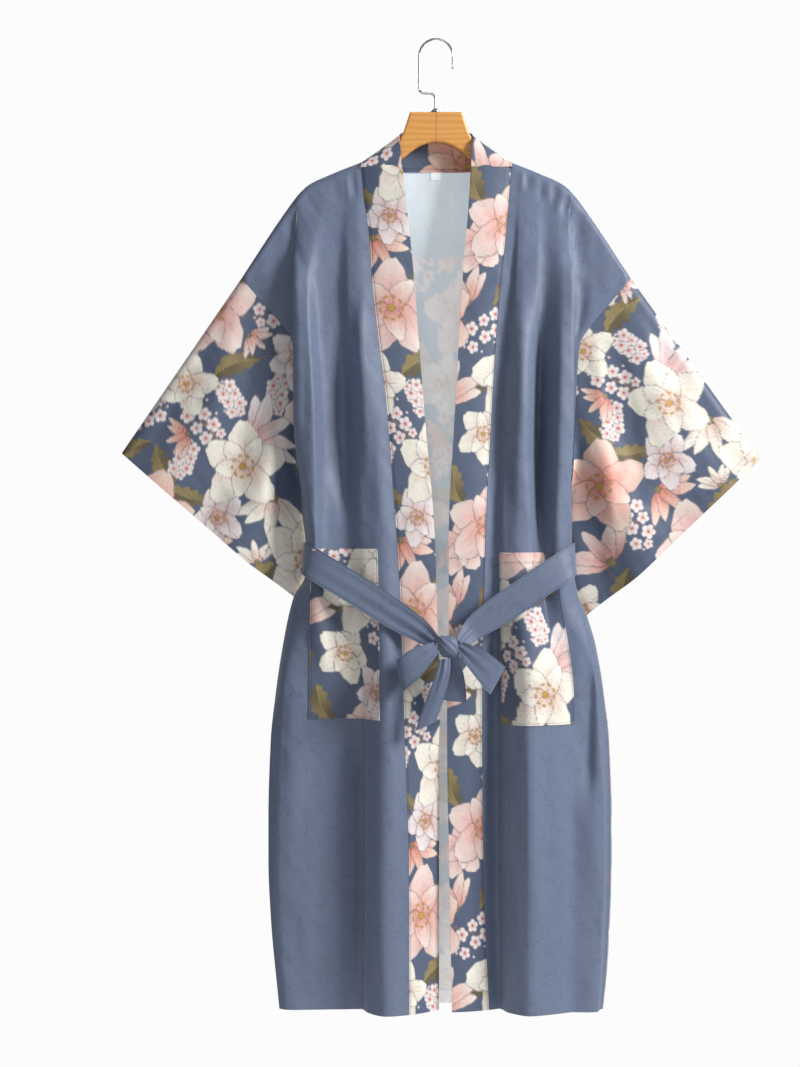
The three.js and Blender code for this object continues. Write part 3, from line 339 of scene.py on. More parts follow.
def round_angles(count: int) -> Array:
    """Angles once round, the same distance apart."""
    return np.linspace(0, 2 * np.pi, count + 1)[:-1]


@dataclass(frozen=True)
class Crease:
    """A soft ridge or trough, given one by one.

    It runs from (x0, z0) to (x1, z1) as seen from the front, bows sideways by bow at its middle, is width
    wide to each side, and stands proud by depth, or sinks where depth is negative. soft makes its far side
    that many times wider than its near side.
    """

    x0: float
    z0: float
    x1: float
    z1: float
    width: float
    depth: float
    bow: float = 0.0
    soft: float = 1.6

    def rise(self, x: Array, z: Array) -> Array:
        """Its height at points: a bell across the line times a slow start and end along it."""
        run = np.array([self.x1 - self.x0, self.z1 - self.z0])
        length = float(np.hypot(*run))
        run = run / length
        along = ((x - self.x0) * run[0] + (z - self.z0) * run[1]) / length
        off = (x - self.x0) * run[1] - (z - self.z0) * run[0] - self.bow * 4 * along * (1 - along)
        wide = np.where(off > 0, self.width * self.soft, self.width)
        ends = ease(along / 0.3) * ease((1 - along) / 0.35)
        return self.depth * np.exp(-((off / wide) ** 2)) * ends


def creases(*rows: tuple[float, ...]) -> tuple[Crease, ...]:
    """Creases from rows of x0, z0, x1, z1, width, depth and, where given, bow and soft."""
    return tuple(Crease(*row) for row in rows)


# Creases of the front as seen, left side first: gathers from the shoulder tip, drags to the band, folds
FRONT_LEFT_CREASES = creases(
    (-192, -216, -197, -440, 6, -4, 0, 1.8), (-118, -400, -112, -660, 8, -4, 4),
    (-100, -300, -92, -600, 6, 2, 3), (-168, -300, -162, -640, 6, 2.5, -4),
    (-94, -880, -97, -1284, 5, -7, 2, 2.2), (-90, -960, -90, -1284, 3, -3),
    (-76, -860, -74, -1284, 6, 3.5, 3), (-196, -212, -170, -320, 5, -1.4, 5),
    (-186, -205, -152, -276, 4, 1.1, 3), (-205, -226, -186, -380, 8, 2.8, -5),
    (-215, -246, -212, -352, 6, -2.2, -4), (-228, -268, -226, -348, 5, 1.8, 3),
    (-176, -200, -150, -238, 3, -1.2, 2), (-160, -190, -136, -222, 3, 1.0, 1),
    (-120, -174, -114, -222, 2.8, 1.1), (-111, -170, -106, -214, 2.6, -1.1),
    (-134, -180, -128, -226, 3, -1.0, 1), (-98, -300, -112, -520, 6, -2.2, 5),
    (-141, -330, -152, -560, 9, 2.4, -6), (-126, -430, -118, -640, 8, -2.4, 4),
    (-170, -420, -176, -650, 7, -1.8, 4), (-150, -560, -128, -668, 8, 2.2, -4),
    (-104, -560, -98, -690, 7, 2.0, 3), (-84, -480, -78, -660, 6, -1.8, 3),
    (-172, -600, -150, -680, 6, 2.0, 2), (-176, -720, -146, -860, 9, 2.4, -6),
    (-160, -905, -196, -1110, 10, 1.8, 8), (-112, -905, -130, -1150, 12, -1.8, -8),
    (-150, -960, -166, -1240, 14, 1.7, 8), (-86, -900, -80, -1200, 9, -2.0, 5),
    (-62, -820, -58, -1080, 8, 1.8, -4), (-196, -850, -206, -1010, 8, -2.0, 3),
    (-128, -1120, -116, -1280, 13, 1.8, 5), (-186, -1130, -178, -1282, 10, -1.6, 4),
)
FRONT_RIGHT_CREASES = creases(
    (192, -450, 187, -212, 6, -9, 0, 1.8), (138, -330, 134, -672, 7, -6, 3, 1.1),
    (138, -470, 136, -674, 4, -7, 2), (104, -300, 100, -640, 9, 1.6, 2), (206, -790, 200, -1040, 8, -8, 2),
    (130, -900, 129, -1284, 7, 2.5, 1), (96, -860, 98, -1284, 4, -4, 1), (104, -860, 106, -1284, 4, 4, 1),
    (196, -212, 168, -320, 5, -1.4, -5), (189, -206, 170, -262, 3, 1.0, -2),
    (206, -228, 182, -400, 8, 2.8, 6), (216, -248, 214, -350, 6, -2.2, 4),
    (229, -270, 228, -346, 5, 1.8, -3), (170, -196, 158, -236, 3, 1.3, -1),
    (161, -190, 152, -228, 2.6, -1.3, -1), (152, -186, 145, -218, 2.6, 1.2, -1),
    (143, -182, 137, -214, 2.6, -1.2), (134, -178, 129, -206, 2.5, 1.1), (125, -174, 121, -206, 2.5, -1.1),
    (116, -170, 112, -210, 2.5, 1.0), (178, -201, 168, -246, 3, -1.3, 1), (112, -330, 124, -560, 9, 1.3, 6),
    (134, -380, 140, -590, 6, -2.4, -4), (150, -340, 166, -540, 9, 1.4, -6),
    (172, -430, 178, -640, 7, -2.0, -4), (96, -470, 100, -660, 6, -2.0, 3),
    (122, -560, 134, -670, 8, 2.2, 4), (152, -590, 160, -690, 6, 2.0, -2),
    (172, -612, 148, -690, 6, -1.8, -3), (86, -560, 88, -700, 5, 1.6, 2),
    (186, -742, 214, -880, 12, 3.2, -4), (168, -770, 196, -960, 9, -2.8, 6),
    (196, -960, 206, -1180, 10, 1.8, -6), (146, -900, 156, -1160, 12, -1.8, 8),
    (112, -880, 118, -1130, 9, 2.0, -6), (84, -900, 88, -1180, 8, -1.6, 4),
    (176, -1060, 168, -1282, 13, 1.8, -6), (130, -1140, 140, -1282, 10, -1.7, 4),
    (212, -1090, 214, -1280, 8, -1.5, 3),
)
SLEEVE_CREASES = creases(
    (-250, -330, -300, -590, 12, 2.6, 14), (-228, -360, -262, -640, 11, -2.6, 10),
    (-205, -420, -226, -680, 9, 2.4, 8), (-290, -380, -372, -560, 13, -1.8, 8),
    (-200, -540, -214, -720, 7, -2.2, 4), (-330, -440, -396, -546, 10, 1.5, 4),
    (-196, -600, -290, -616, 9, 1.9, -6), (-272, -600, -320, -640, 10, -1.6, 4),
    (-212, -390, -216, -500, 7, 2.0, 4), (250, -330, 306, -590, 12, 2.6, -14),
    (226, -360, 268, -650, 11, -2.6, -10), (204, -420, 232, -700, 9, 2.4, -8),
    (296, -384, 380, -560, 13, -1.8, -8), (200, -550, 222, -740, 7, -2.2, -4),
    (336, -440, 404, -560, 10, 1.5, -4), (198, -604, 300, -630, 9, 1.9, 6),
    (284, -610, 330, -650, 10, -1.6, -4), (210, -396, 216, -510, 7, 2.0, -4),
)
BACK_CREASES = creases(
    (-196, -212, -140, -380, 9, -2.8, 8), (-184, -204, -96, -330, 7, 2.4, 6),
    (-210, -240, -196, -430, 8, 2.6, -5), (196, -212, 146, -370, 9, -2.8, -8),
    (186, -204, 104, -340, 7, 2.4, -6), (209, -238, 198, -420, 8, 2.6, 5),
    (-60, -176, -52, -420, 10, 1.8, 4), (58, -176, 46, -400, 10, -1.8, -4),
    (-20, -180, -8, -360, 9, -1.6, 4), (-120, -330, -86, -640, 14, 2.4, -12),
    (30, -330, 14, -650, 14, -2.2, 10), (128, -350, 96, -650, 13, 2.4, 12),
    (-172, -500, -110, -662, 9, -2.4, 8), (170, -490, 120, -660, 9, 2.2, -8),
    (-40, -560, -30, -664, 7, 2.0, 2), (66, -570, 60, -664, 7, -2.0, -2),
    (-90, -712, -110, -960, 14, 2.8, 10), (20, -712, 44, -1000, 15, -2.6, -12),
    (104, -712, 136, -930, 12, 2.6, 8), (-160, -716, -190, -900, 9, -2.4, 6),
    (160, -716, 198, -890, 9, -2.4, -6), (-140, -960, -150, -1270, 14, -2.2, 10),
    (-50, -1000, -62, -1280, 15, 2.2, -8), (80, -980, 88, -1280, 14, -2.2, 8),
    (170, -1000, 180, -1280, 12, 2.0, -6), (-196, -1010, -204, -1280, 9, 1.8, 4),
)


@dataclass
class Relief:
    """The small relief of one face of the robe: its creases and a faint unevenness of the whole cloth."""

    creases: tuple[Crease, ...]
    grain: float = 0.09
    waves: Rows = ((71, 160, 0.3), (-58, 118, 1.7), (39, -94, 4.1), (-27, -61, 2.2), (22, 33, 5.0))

    def rise(self, x: Array, z: Array) -> Array:
        """Height at points in millimetres: the sum of its creases and of five long crossing waves."""
        total = sum((crease.rise(x, z) for crease in self.creases), np.zeros(np.shape(x)))
        for across, down, phase in self.waves:
            total = total + self.grain * np.sin(2 * np.pi * (x / across + z / down) + phase)
        return total


FRONT_RELIEF = Relief(FRONT_LEFT_CREASES + FRONT_RIGHT_CREASES)
SLEEVE_RELIEF = Relief(SLEEVE_CREASES)
BACK_RELIEF = Relief(BACK_CREASES)


def belt_share(x: Array, z: Array) -> Array:
    """How much of the small relief is left near the tied belt, which presses the cloth flat."""
    left, right = np.asarray(BELT_LEFT), np.asarray(BELT_RIGHT)
    on_left = curve_through(left[:, 0], left[:, 2], x)
    on_right = curve_through(-right[:, 0], right[:, 2], -x)
    centre = np.where(x < KNOT_X, on_left, on_right)
    return 1 - 0.9 * np.exp(-(((z - centre) / 42) ** 2))


def straight_belt_share(z: Array) -> Array:
    """The same round the back, where the belt runs level."""
    return 1 - 0.95 * np.exp(-(((z - BELT_Z) / 38) ** 2))


def linear(code: str) -> tuple[float, float, float, float]:
    """The linear colour of an sRGB hex code."""
    parts = np.array([int(code.lstrip("#")[i:i + 2], 16) for i in (0, 2, 4)]) / 255
    low = parts / 12.92
    high = ((parts + 0.055) / 1.055) ** 2.4
    return (*np.where(parts <= 0.04045, low, high).tolist(), 1.0)


def rgb(code: str) -> Array:
    """The same as an array of three, for painting."""
    return np.array(linear(code)[:3])


class Tint(Enum):
    """The colour families of the printed flowers: heart, body and tip of a petal."""

    CREAM = ("#e3c4b5", "#efe8db", "#f5f1e2")
    PINK = ("#e09f93", "#edcdc4", "#f2e2d9")
    CORAL = ("#e2907f", "#eebfb0", "#f1d9cb")
    PALE = ("#dcadaa", "#ecdedb", "#f4ecea")


class Motif(Enum):
    """The printed motifs."""

    OPEN = "open flower"
    CUP = "half-open flower"
    SPRAY = "spray of blossoms"
    LEAF = "lobed leaf"


@dataclass(frozen=True)
class Placed:
    """One motif of the print's repeat: its place, turn and size in millimetres, and its colours."""

    kind: Motif
    x: float
    y: float
    turn: float
    size: float
    tint: Tint = Tint.CREAM


def motifs(kind: Motif, *rows: tuple[object, ...]) -> tuple[Placed, ...]:
    """Motifs of one kind from rows of place, turn, size and, where given, colours."""
    return tuple(Placed(kind, *row) for row in rows)


@dataclass
class FlowerPrint:
    """The printed cloth: an own all-over repeat of garden flowers, leaves and stems on a dusty blue ground.

    A point is painted in the plane of the flat cloth, in millimetres. Motifs are laid over each other in
    the order of the list, each wrapped round the repeat.
    """

    repeat: tuple[float, float] = (340.0, 399.0)
    ground: str = "#58637a"
    line: str = "#4f4756"
    stem: str = "#9c7a4c"
    leaf_dark: str = "#665c42"
    leaf_light: str = "#93835a"
    vein: str = "#a99566"
    heart: str = "#c2604f"
    anther: str = "#c39a4a"
    soft: float = 1.2
    layout: tuple[Placed, ...] = (
        *motifs(Motif.LEAF, (95, 88, 205, 69), (274, 27, 62, 63), (179, 216, 318, 67), (322, 236, 120, 58),
                (77, 362, 20, 65), (240, 355, 250, 60), (9, 196, 160, 56), (216, 84, 340, 52)),
        *motifs(Motif.SPRAY, (134, 40, 20, 70), (322, 102, 80, 66), (216, 163, 140, 70), (27, 291, 300, 68),
                (291, 298, 10, 64), (128, 326, 250, 47), (70, 321, 110, 46), (8, 240, 60, 48)),
        *motifs(Motif.CUP, (336, 268, 200, 48, Tint.CORAL)),
        *motifs(Motif.LEAF, (283, 253, 30, 46)),
        *motifs(Motif.CUP, (100, 120, 100, 46, Tint.CREAM), (104, 395, 320, 44, Tint.PINK),
                (260, 97, 110, 85, Tint.PINK), (121, 161, 262, 80, Tint.CREAM),
                (126, 282, 30, 87, Tint.PALE), (307, 368, 190, 76, Tint.CREAM),
                (37, 112, 300, 69, Tint.CORAL), (254, 218, 60, 69, Tint.PINK)),
        *motifs(Motif.OPEN, (42, 40, 14, 133, Tint.PINK), (207, 24, 40, 84, Tint.CREAM),
                (168, 106, 70, 127, Tint.CREAM), (51, 163, 33, 81, Tint.PALE),
                (295, 168, 55, 133, Tint.CORAL), (84, 231, 5, 122, Tint.CREAM),
                (231, 274, 80, 84, Tint.PINK), (194, 302, 22, 124, Tint.PINK),
                (156, 373, 48, 86, Tint.PALE), (9, 340, 62, 90, Tint.CREAM)),
    )
    stems: Rows = (
        (95, 88, 110, 55, 168, 106), (274, 27, 256, 64, 260, 97), (179, 216, 165, 256, 194, 302),
        (322, 236, 320, 201, 295, 168), (77, 362, 101, 384, 156, 373), (240, 355, 220, 320, 194, 302),
        (121, 161, 88, 183, 84, 231), (216, 163, 256, 183, 295, 168), (27, 291, 55, 265, 84, 231),
        (291, 298, 265, 329, 307, 368), (134, 40, 92, 18, 42, 40), (9, 196, 27, 174, 51, 163),
        (126, 282, 156, 311, 194, 302), (322, 102, 302, 128, 295, 168),
    )

    def paint(self, flat: Array) -> Array:
        """Paints points of the flat cloth.

        Args:
            flat: Places on the flat cloth in millimetres, one row of two for each point.

        Returns:
            Linear red, green and blue and the ink's share, one row of four for each point.
        """
        colour = np.tile(np.append(rgb(self.ground), 0.0), (len(flat), 1))
        for row in self.stems:
            self._stem(flat, colour, row)
        painters = {Motif.OPEN: self._open, Motif.CUP: self._cup, Motif.SPRAY: self._spray,
                    Motif.LEAF: self._leaf}
        for placed in self.layout:
            near, local = self._near(flat, placed)
            if len(near):
                patch = colour[near]
                painters[placed.kind](local, patch, placed)
                colour[near] = patch
        return colour

    def _wrapped(self, flat: Array, x: float, y: float) -> Array:
        """Places relative to the nearest copy of a point of the repeat."""
        size = np.asarray(self.repeat)
        return (flat - (x, y) + size / 2) % size - size / 2

    def _near(self, flat: Array, placed: Placed) -> tuple[Array, Array]:
        """The points within reach of a motif, and their places in its own turned frame."""
        off = self._wrapped(flat, placed.x, placed.y)
        reach = placed.size * 0.75
        near = np.nonzero((np.abs(off[:, 0]) < reach) & (np.abs(off[:, 1]) < reach))[0]
        return near, turned(off[near], placed.turn)

    def _lay(self, patch: Array, away: Array, colour: Array, edge: float = 0.6) -> None:
        """Lays a shape over a patch: its fill inside, then a soft dark line along its edge.

        Args:
            patch: The colours to paint over, changed in place.
            away: Distance outside the shape, negative inside.
            colour: The fill, one colour or one for each point.
            edge: The strength of the edge line.
        """
        cover = np.clip(0.5 - away / self.soft, 0, 1)[:, None]
        line = edge * np.clip(1.15 - np.abs(away + 0.3) / (0.8 * self.soft), 0, 1)[:, None]
        patch[:, :3] = patch[:, :3] * (1 - cover) + colour * cover
        patch[:, :3] = patch[:, :3] * (1 - line) + rgb(self.line) * line
        patch[:, 3] = np.maximum(patch[:, 3], np.maximum(cover, line)[:, 0])

    def _petal(self, local: Array, patch: Array, turn: float, length: float, width: float, tint: Tint,
               bend: float = 0.0, notch: float = 0.0, start: float = 0.0) -> None:
        """One petal: a bent leaf shape whose half width is a skewed half sine of the way along it.

        Args:
            local: Points in the flower's frame.
            patch: Their colours, changed in place.
            turn: The petal's direction in degrees.
            length: From the heart to the tip.
            width: At its widest.
            tint: Its colour family.
            bend: How far the tip swings sideways, as a share of the length.
            notch: How deep its tip dips in, as a share of the length.
            start: Where it starts, away from the heart.
        """
        p = turned(local, turn)
        t = (p[:, 0] - start) / length
        y = p[:, 1] - bend * length * np.clip(t, 0, 1.2) ** 2
        k = np.clip(t, 0, 1)
        ruffle = 1 + 0.05 * np.sin(9 * k + turn) + 0.035 * np.sin(23 * k + 2 * turn + 2 * np.sign(y))
        half = width / 2 * np.sin(np.pi * k**0.8) ** 0.62 * ruffle
        tip = notch * length * np.exp(-((y / (0.16 * width)) ** 2))
        away = np.maximum(np.abs(y) - half, np.maximum(-t * length, (t - 1) * length + tip))
        heart, body, end = (rgb(code) for code in tint.value)
        s = y / np.maximum(half, 1.0)
        blush = np.clip(1.25 - 2.1 * k + 0.18 * np.sin(5 * s + turn), 0, 1)[:, None]
        rim = ease((k - 0.5) / 0.5)[:, None]
        fill = (body * (1 - rim) + end * rim) * (1 - blush) + heart * blush
        shade = 1 - 0.16 * np.clip(s * np.cos(np.radians(turn * 3)), 0, 1)[:, None]
        ray = np.clip(1 - np.abs(np.sin(np.pi * (s * 2.3 + 0.3 * k))) * half / 2.6, 0, 1)
        ray = 0.36 * ray * ease((0.94 - k) / 0.4)
        fill = fill * shade * (1 - ray[:, None]) + rgb(self.line) * ray[:, None]
        self._lay(patch, away, fill)

    def _heart(self, local: Array, patch: Array, radius: float, rays: int) -> None:
        """The middle of an open flower: a coral disc, thin filaments and ochre anthers in a ring."""
        r = np.hypot(*local.T)
        angle = np.arctan2(local[:, 1], local[:, 0])
        wave = np.abs(np.sin(rays * angle / 2))
        thread = np.maximum(r - radius * 1.5, wave * r * 2 / rays * 2 - 0.2)
        self._lay(patch, thread, rgb(self.heart), 0.0)
        self._lay(patch, r - radius * 0.55, rgb(self.anther), 0.4)
        ring = np.hypot(r - radius * 1.55, (1 - wave) * r / rays * 2.2) - 0.11 * radius - 0.6
        self._lay(patch, ring, rgb(self.anther), 0.25)

    def _open(self, local: Array, patch: Array, placed: Placed) -> None:
        """An open flower seen from the front: five broad petals behind, four narrower ones before."""
        size = placed.size
        for i, turn in enumerate((8, 78, 152, 224, 296)):
            length = size * (0.5 + 0.035 * np.sin(2.3 * i))
            self._petal(local, patch, turn, length, size * 0.36, placed.tint,
                        bend=0.14 * np.cos(2.0 * i + placed.turn), notch=0.06)
        for i, turn in enumerate((44, 120, 190, 262)):
            length = size * (0.33 + 0.03 * np.cos(1.7 * i))
            self._petal(local, patch, turn, length, size * 0.22, placed.tint,
                        bend=-0.16 * np.sin(1.3 * i + placed.turn))
        self._heart(local, patch, size * 0.075, 9)

    def _cup(self, local: Array, patch: Array, placed: Placed) -> None:
        """A half-open flower seen from the side: petals fanned to one side over a short green cup."""
        size = placed.size
        base = local + (size * 0.34, 0)
        for i, turn in enumerate((-58, 56, -30, 32, 0)):
            self._petal(base, patch, turn, size * (0.72 - 0.05 * (i % 3)), size * (0.24 + 0.03 * (i % 2)),
                        placed.tint, bend=0.2 * np.sin(turn / 20), notch=0.04 * (i == 4))
        cup = np.maximum(np.abs(base[:, 1]) - size * 0.06, np.abs(base[:, 0] + size * 0.01) - size * 0.07)
        self._lay(patch, cup, rgb(self.leaf_light))

    def _spray(self, local: Array, patch: Array, placed: Placed) -> None:
        """A spray of small five-petalled blossoms and buds round a bent twig."""
        size = placed.size
        twig = np.abs(local[:, 1] - 0.12 * size * np.sin(5 * local[:, 0] / size)) - 0.5
        self._lay(patch, np.maximum(twig, np.abs(local[:, 0]) - 0.5 * size), rgb(self.stem), 0.0)
        blossoms = ((-0.38, 0.14, 0.15), (-0.2, -0.16, 0.17), (-0.06, 0.15, 0.16), (0.1, -0.12, 0.15),
                   (0.2, 0.2, 0.17), (0.36, -0.06, 0.16), (0.42, 0.24, 0.12), (-0.44, -0.1, 0.12))
        for i, (x, y, radius) in enumerate(blossoms):
            self._blossom(local - (x * size, y * size), patch, radius * 62, 40.0 * i)
        for x, y in ((-0.52, 0.02), (0.04, 0.36), (0.54, 0.1), (-0.28, 0.33)):
            bud = np.hypot(*(local - (x * size, y * size)).T) - 2.3
            self._lay(patch, bud, rgb(Tint.PALE.value[1]), 0.5)

    def _blossom(self, local: Array, patch: Array, radius: float, turn: float) -> None:
        """A small blossom: a disc cut into five round petals, red at the heart and pale at the rim."""
        r = np.hypot(*local.T)
        angle = np.arctan2(local[:, 1], local[:, 0]) + np.radians(turn)
        lobe = np.abs(np.cos(2.5 * angle))
        rim = radius * (0.66 + 0.34 * lobe**0.6)
        k = np.clip(r / radius, 0, 1)[:, None]
        heart, body, end = (rgb(code) for code in Tint.PALE.value)
        fill = np.where(k < 0.5, heart + (body - heart) * k * 2, body + (end - body) * (k * 2 - 1))
        fill = fill * (1 - 0.22 * (1 - lobe[:, None]) * k)
        self._lay(patch, r - rim, fill)
        self._lay(patch, r - radius * 0.2, rgb(self.heart), 0.0)

    def _leaf(self, local: Array, patch: Array, placed: Placed) -> None:
        """A lobed leaf: a half sine outline with five round cuts a side, a midrib and side veins."""
        size = placed.size
        t = local[:, 0] / size + 0.5
        k = np.clip(t, 0, 1)
        y = local[:, 1] - 0.1 * size * np.sin(np.pi * k)
        lobes = 0.66 + 0.34 * np.abs(np.sin(np.pi * (4.5 * k + 0.25 * np.abs(y) / size * 4)))
        half = 0.27 * size * np.sin(np.pi * k**0.85) ** 0.8 * lobes
        away = np.maximum(np.abs(y) - half, np.maximum(-t, t - 1) * size)
        tone = ease(0.5 + 0.9 * np.sin(3 * k + placed.turn) * np.sign(y) * 0.6)[:, None]
        fill = rgb(self.leaf_dark) * (1 - tone) + rgb(self.leaf_light) * tone
        self._lay(patch, away, fill, 0.5)
        rib = np.maximum(np.abs(y) - 0.35, away + 1.5)
        slant = np.abs(((k * size - 0.7 * np.abs(y)) / (0.11 * size)) % 1 - 0.5) * 0.11 * size - 0.2
        self._lay(patch, rib, rgb(self.vein), 0.0)
        self._lay(patch, np.maximum(slant, away + 2.5) + 0.5, rgb(self.vein), 0.0)

    def _stem(self, flat: Array, colour: Array, row: tuple[float, ...]) -> None:
        """A thin stem along a bent line: twelve chords of a quadratic curve from end to end."""
        x0, y0, bx, by, x1, y1 = row
        off = self._wrapped(flat, (x0 + x1) / 2, (y0 + y1) / 2)
        reach = 20 + max(abs(x1 - x0), abs(y1 - y0)) / 2
        near = np.nonzero((np.abs(off[:, 0]) < reach) & (np.abs(off[:, 1]) < reach))[0]
        if not len(near):
            return
        p = off[near] + ((x0 + x1) / 2, (y0 + y1) / 2)
        k = np.linspace(0, 1, 13)[:, None]
        line = (1 - k) ** 2 * (x0, y0) + 2 * k * (1 - k) * np.array((bx, by)) + k**2 * (x1, y1)
        a, run = line[:-1], np.diff(line, axis=0)
        share = np.clip(((p[:, None] - a) * run).sum(-1) / (run**2).sum(-1), 0, 1)
        away = np.hypot(*np.moveaxis(p[:, None] - a - share[..., None] * run, -1, 0)).min(axis=1)
        patch = colour[near]
        self._lay(patch, away - 0.9, rgb(self.stem), 0.2)
        colour[near] = patch


def turned(points: Array, degrees: float) -> Array:
    """Points as seen from a frame that is turned by an angle."""
    angle = np.radians(degrees)
    cos, sin = np.cos(angle), np.sin(angle)
    return points @ np.array([[cos, -sin], [sin, cos]])


PRINT = FlowerPrint()


def normals(grid: Array) -> Array:
    """Unit normals of a grid of points: the cross product of its steps along rows and along columns."""
    down = np.gradient(grid, axis=0)
    across = np.gradient(grid, axis=1)
    cross = np.cross(across, down)
    return cross / np.maximum(np.linalg.norm(cross, axis=2, keepdims=True), 1e-9)


def grid_faces(rows: int, cols: int, ring: bool = False) -> Array:
    """The four corners of every cell of a grid, row by row."""
    r = np.arange(rows - 1)[:, None]
    c = np.arange(cols if ring else cols - 1)[None]
    after = (c + 1) % cols
    here, below = r * cols, (r + 1) * cols
    return np.stack([here + c, below + c, below + after, here + after], -1).reshape(-1, 4)


def signed_volume(points: Array, faces: Array) -> float:
    """The volume inside a closed mesh of four-cornered faces, negative when they point in."""
    a, b, c, d = (points[faces[:, i]] for i in range(4))
    return float((np.cross(a, b) * c).sum() + (np.cross(a, c) * d).sum()) / 6


@dataclass
class Sheet:
    """A piece of cloth before it is a mesh.

    grid holds its face in millimetres, rows by columns by three. flat holds the same points' places on the
    cut cloth, in millimetres, and sewn their distance from the nearest stitched edge. front is where its
    outer face looks, as a direction for every point or one for all.
    """

    grid: Array
    flat: Array
    front: Array
    sewn: Array | None = None
    thickness: float = CLOTH
    ring: bool = False

    def mesh(self, name: str, printed: FlowerPrint | None = None) -> bpy.types.Mesh:
        """Makes the closed shell: outer face (slot 0), inner face (slot 1) and the edges between (slot 0).

        The inner face lies square to the outer, by the thickness. A ring's last column joins its first.

        Args:
            name: The mesh's name.
            printed: The print that colours it, if it has one.

        Returns:
            The mesh, in metres, with the layer "cloth" and the attributes "print" and "sewn".
        """
        outer = self.grid
        rows, cols = outer.shape[:2]
        square = self.square()
        inner = outer - square * self.thickness
        points = np.concatenate([outer.reshape(-1, 3), inner.reshape(-1, 3)])
        count = rows * cols
        face = grid_faces(rows, cols, self.ring)
        back = face[:, ::-1] + count
        edges = self._edges(rows, cols, count)
        faces = np.concatenate([face, back, edges])
        slots = np.concatenate([np.zeros(len(face), np.int32), np.ones(len(back), np.int32),
                                np.zeros(len(edges), np.int32)])
        if signed_volume(points, faces) < 0:
            faces = faces[:, ::-1]
        flat = np.concatenate([self.flat.reshape(-1, 2)] * 2)
        sewn = np.full((rows, cols), FAR_FROM_SEAM) if self.sewn is None else self.sewn
        mesh = make_mesh(name, points, faces, slots, flat)
        put(mesh, "sewn", "FLOAT", np.concatenate([sewn.ravel()] * 2))
        if printed is not None:
            ink = printed.paint(self.flat.reshape(-1, 2))
            put(mesh, "print", "FLOAT_COLOR", np.concatenate([ink, ink]))
        return mesh

    def square(self) -> Array:
        """Unit normals that all look to the outer side."""
        grid = self.grid
        if self.ring:
            grid = np.concatenate([grid[:, -2:], grid, grid[:, :2]], axis=1)
        found = normals(grid)
        if self.ring:
            found = found[:, 2:-2]
        towards = (found * self.front).sum(-1, keepdims=True)
        if self.front.ndim == 1:
            return found * np.sign(towards.sum())
        return found * np.where(towards < 0, -1.0, 1.0)

    def _edges(self, rows: int, cols: int, count: int) -> Array:
        """The faces that close the shell along its open edges."""
        index = np.arange(count).reshape(rows, cols)
        if self.ring:
            index = np.concatenate([index, index[:, :1]], axis=1)
        runs = [index[0], index[-1][::-1]]
        if not self.ring:
            runs += [index[::-1, 0], index[:, -1]]
        parts = [np.stack([run[:-1], run[1:], run[1:] + count, run[:-1] + count], -1) for run in runs]
        return np.concatenate(parts)


def make_mesh(name: str, points: Array, faces: Array, slots: Array, flat: Array) -> bpy.types.Mesh:
    """A mesh in metres from points in millimetres, with its cloth coordinates as the UV map "cloth"."""
    mesh = bpy.data.meshes.new(name)
    mesh.vertices.add(len(points))
    mesh.vertices.foreach_set("co", (points * MM).astype(np.float32).ravel())
    mesh.loops.add(faces.size)
    mesh.loops.foreach_set("vertex_index", faces.astype(np.int32).ravel())
    mesh.polygons.add(len(faces))
    mesh.polygons.foreach_set("loop_start", np.arange(0, faces.size, faces.shape[1], dtype=np.int32))
    mesh.polygons.foreach_set("material_index", slots.astype(np.int32))
    mesh.polygons.foreach_set("use_smooth", np.ones(len(faces), bool))
    mesh.update(calc_edges=True)
    layer = mesh.uv_layers.new(name="cloth")
    layer.data.foreach_set("uv", (flat[faces.ravel()] * MM).astype(np.float32).ravel())
    mesh.set_sharp_from_angle(angle=np.radians(62))
    return mesh


def put(mesh: bpy.types.Mesh, name: str, kind: str, values: Array) -> None:
    """Stores an attribute on the points of a mesh."""
    layer = mesh.attributes.new(name, kind, "POINT")
    key = "color" if kind == "FLOAT_COLOR" else "value"
    layer.data.foreach_set(key, values.astype(np.float32).ravel())


@dataclass(frozen=True)
class Cut:
    """The flat size of a piece as it was cut, in millimetres, and its area in square millimetres."""

    width: float
    length: float
    area: float


def place(name: str, mesh: bpy.types.Mesh, materials: list[bpy.types.Material], slot: str,
          *nodes: str) -> bpy.types.Object:
    """Puts a piece into the scene, on the root body, in the stead of the solids that it stands for."""
    obj = bpy.data.objects.new(name, mesh)
    bpy.context.scene.collection.objects.link(obj)
    for material in materials:
        mesh.materials.append(material)
    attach(obj, "root")
    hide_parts(*nodes)
    LOG.info("%s: %d faces", name, len(mesh.polygons))
    return obj


class Look(Enum):
    """The looks of a piece: its outer finish, its inner finish and its slot."""

    PLAIN = ("plain", "plain_reverse", "plain_cloth")
    PRINTED = ("printed", "printed_reverse", "printed_cloth")
    PRINTED_DOUBLE = ("printed", "printed", "printed_cloth")
    PLAIN_DOUBLE = ("plain", "plain", "plain_cloth")
    BELT_BACK = ("belt", "belt", "plain_cloth")
    BACK = ("back_outer", "printed_reverse", "plain_cloth")


def sew(node: str, sheet: Sheet, look: Look, materials: Materials) -> bpy.types.Object:
    """Args:
        node: The solid's name.
        sheet: The cloth before it is a mesh.
        look: Its finishes and slot. A piece with a printed inner finish has the print.
        materials: The finishes by their short names.

    Returns:
        The piece.
    """
    outer, inner, slot = look.value
    mesh = sheet.mesh(f"{node}_cloth", PRINT if inner.startswith("printed") else None)
    obj = place(f"{node}_cloth", mesh, [materials[outer], materials[inner]], slot, node)
    return obj


